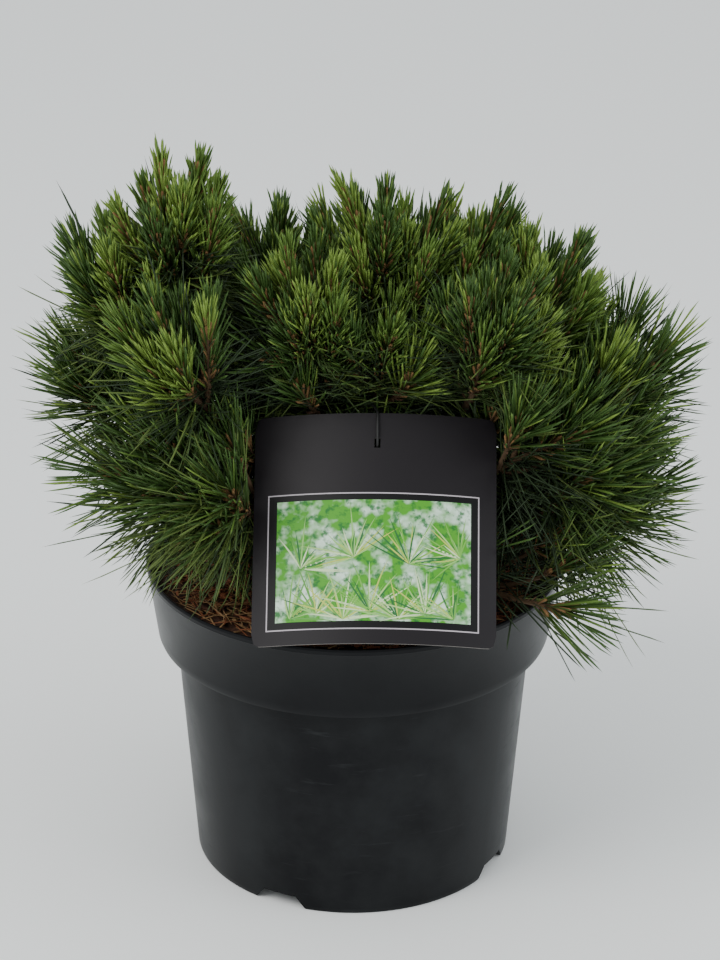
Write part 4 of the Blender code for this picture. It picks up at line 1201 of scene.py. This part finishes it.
def model_card(card):
    """Card with round corners and a slot, bowed about its upright line."""
    half = card.width / 2
    shape = card_sheet(-half, half, 0.0, card.height, CARD_COLUMNS)
    corners = [vertex for vertex in shape.verts if len(vertex.link_edges) == 2]
    # The grid near each corner is cleared before the corner is rounded
    for corner in corners:
        near = [
            vertex for vertex in shape.verts
            if not vertex.is_boundary and (vertex.co - corner.co).length < card.corner
        ]
        bmesh.ops.dissolve_verts(shape, verts=near)
    centres = []
    for corner in corners:
        centre_y = card.corner if corner.co.y < card.height / 2 else card.height - card.corner
        centres.append(Vector((math.copysign(half - card.corner, corner.co.x), centre_y, 0.0)))
    for vertex in shape.verts:
        for centre in centres:
            outer = vertex.co - centre
            outside_x = outer.x * math.copysign(1, centre.x) > 0
            outside_y = outer.y * math.copysign(1, centre.y - card.height / 2) > 0
            if outside_x and outside_y and outer.length > card.corner:
                vertex.co = centre + outer.normalized() * card.corner
    for axis, size in enumerate((SLOT_WIDTH, SLOT_HEIGHT)):
        for side in (-size / 2, size / 2):
            cut_sheet(shape, axis, SLOT_CENTRE[axis] + side)
    hole = [
        face for face in shape.faces
        if abs(face.calc_center_median().x - SLOT_CENTRE.x) < SLOT_WIDTH / 2
        and abs(face.calc_center_median().y - SLOT_CENTRE.y) < SLOT_HEIGHT / 2
    ]
    bmesh.ops.delete(shape, geom=hole, context="FACES")
    bow_shape(card, shape, 0.0)
    face_out(shape)
    bmesh.ops.solidify(shape, geom=list(shape.faces), thickness=card.thickness)
    outward = card_frame()[2]
    bmesh.ops.translate(shape, verts=shape.verts, vec=outward * card.thickness / 2)
    shape.normal_update()
    for face in shape.faces:
        face.material_index = 0 if abs(face.normal.dot(outward)) > 0.5 else 1
    mesh = mesh_from("laminated_card", shape)
    mesh.shade_smooth()
    mesh.set_sharp_from_angle(angle=math.radians(CARD_SHARP_ANGLE))
    ink, _ = laminated_print("dark_laminated_ink", card.ink)
    edge, _ = laminated_print("cut_card_edge", card.edge, 0.7)
    piece = add_piece("laminated_card", mesh, ink, edge)
    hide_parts("hang_card")


def model_print(card):
    """Printed line and picture, a hair above the card's face."""
    surface = card.thickness / 2 + PRINT_LIFT
    shape = card_sheet(LINE_LEFT, LINE_RIGHT, LINE_BOTTOM, LINE_TOP, PRINT_COLUMNS)
    for axis, low, high in ((0, LINE_LEFT, LINE_RIGHT), (1, LINE_BOTTOM, LINE_TOP)):
        for place in (low + card.line_width, high - card.line_width):
            cut_sheet(shape, axis, place)
    for face in shape.faces:
        centre = face.calc_center_median()
        if LINE_LEFT + card.line_width < centre.x < LINE_RIGHT - card.line_width:
            if LINE_BOTTOM + card.line_width < centre.y < LINE_TOP - card.line_width:
                face.material_index = 1
    bow_shape(card, shape, surface)
    face_out(shape)
    pale, _ = laminated_print("pale_printed_line", card.line)
    black, _ = laminated_print("black_ink_inside_line", card.inside)
    line = add_piece("printed_line", mesh_from("printed_line", shape), pale, black)

    shape = card_sheet(PICTURE_LEFT, PICTURE_RIGHT, PICTURE_BOTTOM, PICTURE_TOP, PRINT_COLUMNS)
    layer = shape.loops.layers.uv.new("print")
    for face in shape.faces:
        for loop in face.loops:
            loop[layer].uv = (loop.vert.co.x, loop.vert.co.y)
    bow_shape(card, shape, surface + PICTURE_LIFT)
    face_out(shape)
    picture = add_piece("printed_picture", mesh_from("printed_picture", shape), printed_picture(card))


def model_blades_of_picture(card):
    """Plain fans of grass-like blades that decorate the picture, in a layout of its own."""
    dice = random.Random(8)
    materials = [
        laminated_print(f"picture_blade_{index + 1}", linear(tone))[0]
        for index, tone in enumerate(FAN_TONES)
    ]
    shape = bmesh.new()
    level = 0
    for foot_x, foot_y, middle in FANS:
        for index in range(FAN_BLADES):
            turn = (index - FAN_BLADES // 2) * FAN_TURN + dice.uniform(-FAN_SCATTER, FAN_SCATTER)
            azimuth = math.radians(middle + turn)
            length = dice.uniform(*FAN_LENGTHS)
            tip = Vector((foot_x + math.cos(azimuth) * length, foot_y + math.sin(azimuth) * length))
            inside = PICTURE_LEFT + FAN_MARGIN < tip.x < PICTURE_RIGHT - FAN_MARGIN
            if not inside or not PICTURE_BOTTOM + FAN_MARGIN < tip.y < PICTURE_TOP - FAN_MARGIN:
                continue
            level += 1
            blade = bmesh.ops.create_grid(shape, x_segments=8, y_segments=1, size=0.5)["verts"]
            bend = dice.uniform(-FAN_BEND, FAN_BEND)
            for vertex in blade:
                share = vertex.co.x + 0.5
                wide = FAN_WIDTH * math.sin(math.pi * (0.12 + 0.86 * share))
                sideways = math.copysign(wide / 2, vertex.co.y) + bend * share ** 2
                vertex.co = (share * length, sideways, FAN_LIFT + FAN_LAYER * level)
            bmesh.ops.rotate(shape, verts=blade, matrix=Matrix.Rotation(azimuth, 3, "Z"))
            bmesh.ops.translate(shape, verts=blade, vec=(foot_x, foot_y, 0.0))
            tone = dice.randrange(len(FAN_TONES))
            for face in {face for vertex in blade for face in vertex.link_faces}:
                face.material_index = tone
    bow_shape(card, shape, card.thickness / 2 + PRINT_LIFT + PICTURE_LIFT)
    face_out(shape)
    piece = add_piece("picture_blades", mesh_from("picture_blades", shape), *materials)


def model_tie(card, plan):
    """Closed loop: through the slot, over the card's top edge and round a side bough."""
    points, radii = plan.limbs[TIE_BOUGH]
    centre = along(points, TIE_PLACE)
    limb = (along(points, TIE_PLACE + 0.05) - centre).normalized()
    slot_place = card_point(card, SLOT_CENTRE.x, SLOT_CENTRE.y)
    toward = slot_place - centre
    toward = (toward - limb * toward.dot(limb)).normalized()
    upward = limb.cross(toward)
    if upward.z < 0:
        upward.negate()
    ring = radii[0] + TIE_RING_GAP
    place = SLOT_CENTRE.x
    line = [
        card_point(card, place, SLOT_CENTRE.y - SLOT_HEIGHT / 6),
        card_point(card, place, SLOT_CENTRE.y + SLOT_HEIGHT / 3, TIE_STAND_OFF),
        card_point(card, place, card.height - TIE_STAND_OFF, TIE_STAND_OFF),
        card_point(card, place, card.height + TIE_STAND_OFF, 0.0),
    ]
    for index in range(TIE_RING_POINTS):
        turn = math.radians(TIE_RING_START + TIE_RING_SWEEP * index / (TIE_RING_POINTS - 1))
        line.append(centre + (toward * math.cos(turn) + upward * math.sin(turn)) * ring)
    line.append(card_point(card, place, SLOT_CENTRE.y - SLOT_HEIGHT / 2, -TIE_STAND_OFF))
    smooth_line = []
    count = len(line)
    for index in range(count):
        before, here, after = line[index - 1], line[index], line[(index + 1) % count]
        curve = bezier((before + here) / 2, here, (here + after) / 2, TIE_CURVE_POINTS)
        smooth_line += curve[:-1]
    mesh = tubes("tie_loop", [(smooth_line, [card.tie_radius] * len(smooth_line))], 3, closed=True)
    mesh.shade_smooth()
    material, _ = start_material("black_elastic_cord", linear("#141414"), 0.55)
    piece = add_piece("tie_loop", mesh, material)
    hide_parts("card_tie")


# Foliage

def by_vigour(values, vigour):
    """Value of a twig between that of the weakest and that of the strongest."""
    return values[0] + (values[1] - values[0]) * vigour


class Growth:
    """Twigs and needles of every mass, by the rule of the solids carried on finer."""

    def __init__(self, plan, pot, card, needles):
        self.plan = plan
        self.pot = pot
        self.card = card
        self.needles = needles
        self.twigs = []
        self.ends = []
        self.new = Blades(blade_template(SHORT_BLADE), 0.6)
        self.old = Blades(blade_template(LONG_BLADE), 0.6)
        self.sheaths = Blades(blade_template(SHORT_BLADE), 0.9)
        self.scales = Blades(blade_template(CHIP_BLADE), 0.5)

    def free(self, samples):
        """True for each row of sampled points that keeps off card and pot, and in the box."""
        off_card = clear_of_card(self.card, samples)
        return off_card & clear_of_pot(self.pot, samples) & in_box(samples)

    def allowed(self, points):
        return bool(self.free(np.array([[tuple(point) for point in points]]))[0])

    def within_reach(self, point, name):
        base, tip = self.plan.axes[name]
        line = tip - base
        place = min(max((point - base).dot(line) / line.length_squared, 0.0), 1.0)
        beyond = (point - self.plan.tips[name]).dot(self.plan.growths[name])
        return (point - base - line * place).length < SPACE_RADIUS and beyond < -SHORTFALL

    def side_shoots(self, name, stem, dice):
        """Side shoots in whorls along the stem, each bending upwards."""
        growth = self.plan.growths[name]
        side = growth.orthogonal().normalized()
        lift = growth * (1.0 - SHOOT_LIFT) + Vector((0.0, 0.0, SHOOT_LIFT))
        first_turn = dice.uniform(0.0, 360.0)
        found = []
        for number, (place, count) in enumerate(WHORLS):
            root = along(stem, place)
            for index in range(count):
                turn = first_turn + 360.0 * index / count + WHORL_TURN * number
                for attempt in range(SHOOT_ATTEMPTS):
                    angle = math.radians(SHOOT_ANGLE + dice.uniform(-SHOOT_SCATTER, SHOOT_SCATTER))
                    length = SHOOT_LENGTH * dice.uniform(*SHOOT_LENGTH_RANGE)
                    length *= (1.0 - SHOOT_SHORTENING * place) * (1.0 - ATTEMPT_SHORTENING * attempt)
                    aim = math.radians(turn + ATTEMPT_TURN * attempt)
                    sideways = Matrix.Rotation(aim, 3, growth) @ side
                    leave = growth * math.cos(angle) + sideways * math.sin(angle)
                    onward = (leave * (1.0 - RIGHTING) + lift * RIGHTING).normalized()
                    bend = root + leave * length * SHOOT_BEND
                    end = bend + onward * length * (1.0 - SHOOT_BEND)
                    points = bezier(root, bend, end, SHOOT_POINTS)
                    crowded = any((end - other).length < CANDLE_SPACING for other in self.ends)
                    if crowded or in_shaded_hollow(np.array(end)) or not self.within_reach(end, name):
                        continue
                    if self.allowed(points[1:]):
                        self.ends.append(end)
                        found.append(points)
                        break
        return found

    def spray(self, blades, points, count, first, last, leans, lengths, tone, dice, droop, strays=0.0):
        """Pairs of needles round one twig, by the golden angle. Leans and lengths are at the
        first and last place. A few strays stand up, longer and wider apart."""
        share = np.linspace(0.0, 1.0, count)
        places = first + (last - first) * share
        line = np.array([tuple(point) for point in points])
        scaled = np.clip(places * (len(line) - 1), 0, len(line) - 1.0001)
        low = scaled.astype(int)
        roots = line[low] + (line[low + 1] - line[low]) * (scaled - low)[:, None]
        steps = np.gradient(line, axis=0)
        ahead = steps[low] + (steps[low + 1] - steps[low]) * (scaled - low)[:, None]
        ahead /= np.linalg.norm(ahead, axis=1)[:, None]
        side, other = sides_of(ahead)
        turns = np.radians(dice.uniform(0, 360) + GOLDEN_ANGLE * np.arange(count))[:, None]
        radial = side * np.cos(turns) + other * np.sin(turns)
        around = np.cross(ahead, radial)
        lean = leans[0] + (leans[1] - leans[0]) * share + dice.normal(0.0, LEAN_SCATTER, count)
        stray = dice.random(count) < strays
        lean = np.where(stray, lean * STRAY_LEAN, lean)
        lean = np.radians(np.clip(lean, *LEAN_LIMITS))[:, None]
        aims = ahead * np.cos(lean) + radial * np.sin(lean)
        long = (lengths[0] + (lengths[1] - lengths[0]) * share) * dice.uniform(*LENGTH_RANGE, count)
        long = np.where(stray, long * STRAY_LENGTH, long)
        if droop > 0.0:
            aims = aims - np.array([0.0, 0.0, 1.0]) * droop * (1.0 - DROOP_EASE * share)[:, None]
            aims /= np.linalg.norm(aims, axis=1)[:, None]
        all_roots = []
        all_aims = []
        all_bends = []
        for half in (-1.0, 1.0):
            spread = dice.uniform(*PAIR_SPREAD, count) + STRAY_SPREAD * stray
            spread = np.radians(spread)[:, None] * half
            one = aims * np.cos(spread) + around * np.sin(spread)
            one /= np.linalg.norm(one, axis=1)[:, None]
            bend = (ahead - radial * 0.5) * NEEDLE_BEND + dice.normal(0.0, BEND_SCATTER, (count, 3))
            bend = bend + around * PAIR_BEND * half
            all_roots.append(roots)
            all_aims.append(one)
            all_bends.append(bend * long[:, None])
        roots = np.concatenate(all_roots)
        aims = np.concatenate(all_aims)
        bends = np.concatenate(all_bends)
        long = np.concatenate([long, long * dice.uniform(*PAIR_LENGTH_RANGE, count)])
        samples = roots[:, None] + aims[:, None] * (long[:, None] * TEST_PLACES)[:, :, None]
        samples = samples + bends[:, None] * (TEST_PLACES ** 2)[None, :, None]
        size = len(roots)
        in_shade = in_shaded_hollow(samples[:, MIDDLE_PLACE])
        free = self.free(samples) & (~in_shade | (dice.random(size) < HOLLOW_SHARE))
        own = dice.random(size) < OWN_TONE_SHARE
        tones = np.where(own, tone, dice.integers(0, DEEPEST + 1, size))
        # Needles in a shaded hollow take the deepest tone: painted shade
        tones = np.where(in_shade, DEEPEST, tones)
        widths = self.needles.width * dice.uniform(*WIDTH_RANGE, size)
        if blades is self.old:
            widths = widths * OLD_WIDTH_SHARE
        blades.add(roots[free], aims[free], bends[free], long[free], widths[free], tones[free])
        return roots[free][::2], aims[free][::2]

    def candle(self, points, first, tone, dice, droop, vigour):
        """This year's shoot: needles held close to it, each pair in its sheath, above a
        knot of bud scales. A strong shoot has more of them, shorter and closer."""
        count = int(self.needles.new_pairs * by_vigour(NEW_COUNTS, vigour))
        long = self.needles.new_length * by_vigour(NEW_LENGTHS, vigour)
        leans = (by_vigour(NEW_FOOT_LEANS, vigour), by_vigour(NEW_TIP_LEANS, vigour))
        lengths = (long * NEW_FOOT_LENGTH, long * by_vigour(NEW_TIP_LENGTHS, vigour))
        roots, aims = self.spray(
            self.new, points, count, first, NEW_END, leans, lengths, tone, dice, droop * NEW_DROOP,
        )
        size = len(roots)
        if size:
            long, wide = np.full(size, SHEATH_LENGTH), np.full(size, SHEATH_WIDTH)
            self.sheaths.add(roots, aims, np.zeros((size, 3)), long, wide, np.zeros(size, int))
        knot = (max(first - KNOT_BELOW, 0.0), first + KNOT_ABOVE)
        lengths = (SCALE_LENGTH, SCALE_LENGTH)
        self.spray(self.scales, points, SCALE_PAIRS, *knot, SCALE_LEANS, lengths, 0, dice, 0.0)

    def last_year(self, points, first, last, count, tone, dice, droop, vigour=0.0):
        """Last year's part: long needles that stand well out of it."""
        long = self.needles.old_length * by_vigour(OLD_LENGTHS, vigour)
        leans = (OLD_FOOT_LEAN, by_vigour(OLD_TIP_LEANS, vigour))
        lengths = (long * OLD_FOOT_LENGTH, long * OLD_TIP_LENGTH)
        strays = by_vigour(STRAY_SHARES, vigour)
        self.spray(self.old, points, count, first, last, leans, lengths, tone, dice, droop, strays)

    def vigour(self, tip):
        """From 0 to 1: high shoots near the middle are strong, low and outer ones weak."""
        height = (tip.z - DULL_HEIGHT) / (VIGOROUS_HEIGHT - DULL_HEIGHT)
        inward = (DULL_REACH - math.hypot(tip.x, tip.y)) / (DULL_REACH - VIGOROUS_REACH)
        # A twig in a shaded hollow counts as weakest, so its candle takes the deepest tone: painted shade
        if in_shaded_hollow(np.array(tip)):
            return 0.0
        return min(max(height, 0.0), 1.0) * min(max(inward, 0.0), 1.0)

    def shoot(self, points, root_radius, share, deal, droop):
        """One twig with both years' needles. Share is how much of last year's it holds."""
        self.twigs.append((points, tapering(root_radius, SHOOT_TIP_RADIUS, len(points))))
        vigour = self.vigour(points[-1])
        tone = int(deal.integers(0, DEEPEST + 1)) if vigour > TONE_VIGOUR else DEEPEST
        end = by_vigour(OLD_ENDS, vigour)
        past = max(0.0, math.hypot(*points[-1].xy) - VIGOROUS_REACH)
        outward = min(past / (DULL_REACH - VIGOROUS_REACH), 1.0)
        count = self.needles.old_pairs * share * by_vigour(OLD_COUNTS, vigour)
        count = int(count * (1.0 - OLD_OUTER_LOSS * outward))
        old_tone = int(deal.integers(0, DEEPEST + 1))
        self.last_year(points, OLD_START, end, count, old_tone, deal, droop, vigour)
        self.candle(points, end - NEW_OVERLAP, tone, deal, droop, vigour)

    def grow(self, name, seed):
        """All twigs and needles of one mass."""
        dice = random.Random(seed)
        deal = np.random.default_rng(seed)
        stem = self.plan.stem(name)
        droop = LOW_DROOP if self.plan.tips[name].z < DROOP_HEIGHT else HIGH_DROOP
        self.ends.append(stem[-1])
        bough = self.plan.limbs[name][0]
        pairs = int(self.needles.old_pairs * BOUGH_SHARE)
        tone = int(deal.integers(1, DEEPEST + 1))
        self.last_year(bough, BOUGH_START, 1.0, pairs, tone, deal, droop)
        shoots = self.side_shoots(name, stem, dice)
        self.shoot(stem, STEM_RADIUS, STEM_NEEDLE_SHARE, deal, droop)
        for points in shoots:
            self.shoot(points, SHOOT_RADIUS, 1.0, deal, droop)


def model_foliage(plan, pot, card, needles, limb):
    growth = Growth(plan, pot, card, needles)
    for seed, name in enumerate(plan.axes):
        growth.grow(name, seed + 11)
    for age, blades in (("new", growth.new), ("old", growth.old)):
        materials = [
            waxy_needle(f"{age}_needle_{tone}", getattr(needles, f"{age}_{tone}"))
            for tone in ("light", "middle", "deep")
        ]
        blades.pieces(f"{age}_needles", materials, "needles", FOLIAGE_NODES)
    sheath = dry_plant("papery_sheath", needles.sheath)
    growth.sheaths.pieces("needle_sheaths", [sheath], "needles", FOLIAGE_NODES)
    scale = dry_plant("bud_scale", needles.scale)
    growth.scales.pieces("bud_scales", [scale], "needles", FOLIAGE_NODES)
    mesh = tubes("young_twigs", growth.twigs, 1)
    mesh.shade_smooth()
    piece = add_piece("young_twigs", mesh, dry_plant("young_twig_bark", limb.twig))
    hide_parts(*FOLIAGE_NODES)


# Stage

def area_light(name, place, size, power, colour):
    data = bpy.data.lights.new(name, "AREA")
    data.shape = "SQUARE"
    data.size = size
    data.energy = power
    data.color = colour
    light = bpy.data.objects.new(name, data)
    light.location = place
    light.rotation_euler = (Vector(LIGHT_AIM) - Vector(place)).to_track_quat("-Z", "Y").to_euler()
    bpy.context.scene.collection.objects.link(light)


def set_stage(stage):
    """Plain pale floor, large soft lights and the camera at the photograph's angle."""
    shape = bmesh.new()
    bmesh.ops.create_grid(shape, x_segments=1, y_segments=1, size=stage.floor_size)
    floor = bpy.data.objects.new("pale_floor", mesh_from("pale_floor", shape))
    material, _ = start_material("plain_pale_floor", stage.floor, 0.75)
    floor.data.materials.append(material)
    bpy.context.scene.collection.objects.link(floor)

    world = bpy.data.worlds.new("soft_room")
    world.use_nodes = True
    background = world.node_tree.nodes["Background"]
    background.inputs["Color"].default_value = linear("#eef2f4")
    background.inputs["Strength"].default_value = stage.sky
    bpy.context.scene.world = world
    area_light("key", (-1.1, -0.9, 1.7), 1.1, stage.key_power, (1.0, 0.985, 0.96))
    area_light("fill", (1.5, -0.5, 0.9), 1.2, stage.fill_power, (0.95, 0.98, 1.0))

    data = bpy.data.cameras.new("photo_camera")
    data.lens = CAMERA_LENS
    data.sensor_width = 36.0
    data.clip_start = 0.1
    camera = bpy.data.objects.new("photo_camera", data)
    camera.location = CAMERA_PLACE
    turn = Matrix.Identity(3)
    for axis, angle in CAMERA_TURNS:
        turn = turn @ Matrix.Rotation(math.radians(angle), 3, axis)
    camera.rotation_euler = turn.to_euler()
    bpy.context.scene.collection.objects.link(camera)
    bpy.context.scene.camera = camera


# Operators

class PINE_OT_pot(bpy.types.Operator):
    """Model the nursery pot with its collar, notches and drain holes"""
    bl_idname = "pine.pot"
    bl_label = "Pot"

    def execute(self, context):
        model_pot(context.scene.pine_pot)
        return {"FINISHED"}


class PINE_OT_filling(bpy.types.Operator):
    """Model the peat that fills the pot, and the litter on it"""
    bl_idname = "pine.filling"
    bl_label = "Filling"

    def execute(self, context):
        model_soil(context.scene.pine_pot, context.scene.pine_soil)
        model_litter(context.scene.pine_soil)
        return {"FINISHED"}


class PINE_OT_limbs(bpy.types.Operator):
    """Model the trunk and boughs with relief in their bark"""
    bl_idname = "pine.limbs"
    bl_label = "Trunk and boughs"

    def execute(self, context):
        model_limbs(context.scene.pine_limbs, Plan())
        return {"FINISHED"}


class PINE_OT_foliage(bpy.types.Operator):
    """Grow the twigs and needles of every mass of foliage"""
    bl_idname = "pine.foliage"
    bl_label = "Foliage"

    def execute(self, context):
        scene = context.scene
        model_foliage(Plan(), scene.pine_pot, scene.pine_card, scene.pine_needles, scene.pine_limbs)
        return {"FINISHED"}


class PINE_OT_card(bpy.types.Operator):
    """Model the hang card, its plain print and the loop that ties it on"""
    bl_idname = "pine.card"
    bl_label = "Hang card"

    def execute(self, context):
        card = context.scene.pine_card
        model_card(card)
        model_print(card)
        model_blades_of_picture(card)
        model_tie(card, Plan())
        return {"FINISHED"}


class PINE_OT_stage(bpy.types.Operator):
    """Set the pale floor, the soft lights and the camera"""
    bl_idname = "pine.stage"
    bl_label = "Stage"

    def execute(self, context):
        set_stage(context.scene.pine_stage)
        return {"FINISHED"}


SETTINGS = {
    "pine_pot": PotSettings,
    "pine_soil": SoilSettings,
    "pine_limbs": LimbSettings,
    "pine_needles": NeedleSettings,
    "pine_card": CardSettings,
    "pine_stage": StageSettings,
}
OPERATORS = (PINE_OT_pot, PINE_OT_filling, PINE_OT_limbs, PINE_OT_foliage, PINE_OT_card, PINE_OT_stage)


class PINE_PT_panel(bpy.types.Panel):
    """Lists the pieces and their settings"""
    bl_idname = "PINE_PT_panel"
    bl_label = "Pine"
    bl_space_type = "VIEW_3D"
    bl_region_type = "UI"
    bl_category = "Pine"

    def draw(self, context):
        for operator, (name, group) in zip(OPERATORS, SETTINGS.items()):
            box = self.layout.box()
            box.operator(operator.bl_idname)
            for setting in group.__annotations__:
                box.prop(getattr(context.scene, name), setting)


CLASSES = (*SETTINGS.values(), *OPERATORS, PINE_PT_panel)


def register():
    for one_class in CLASSES:
        bpy.utils.register_class(one_class)
    for name, group in SETTINGS.items():
        setattr(bpy.types.Scene, name, PointerProperty(type=group))


def unregister():
    for name in SETTINGS:
        delattr(bpy.types.Scene, name)
    for one_class in reversed(CLASSES):
        bpy.utils.unregister_class(one_class)


def main():
    register()
    bpy.ops.pine.pot()
    bpy.ops.pine.filling()
    bpy.ops.pine.limbs()
    bpy.ops.pine.foliage()
    bpy.ops.pine.card()
    bpy.ops.pine.stage()


if __name__ == "__main__":
    main()
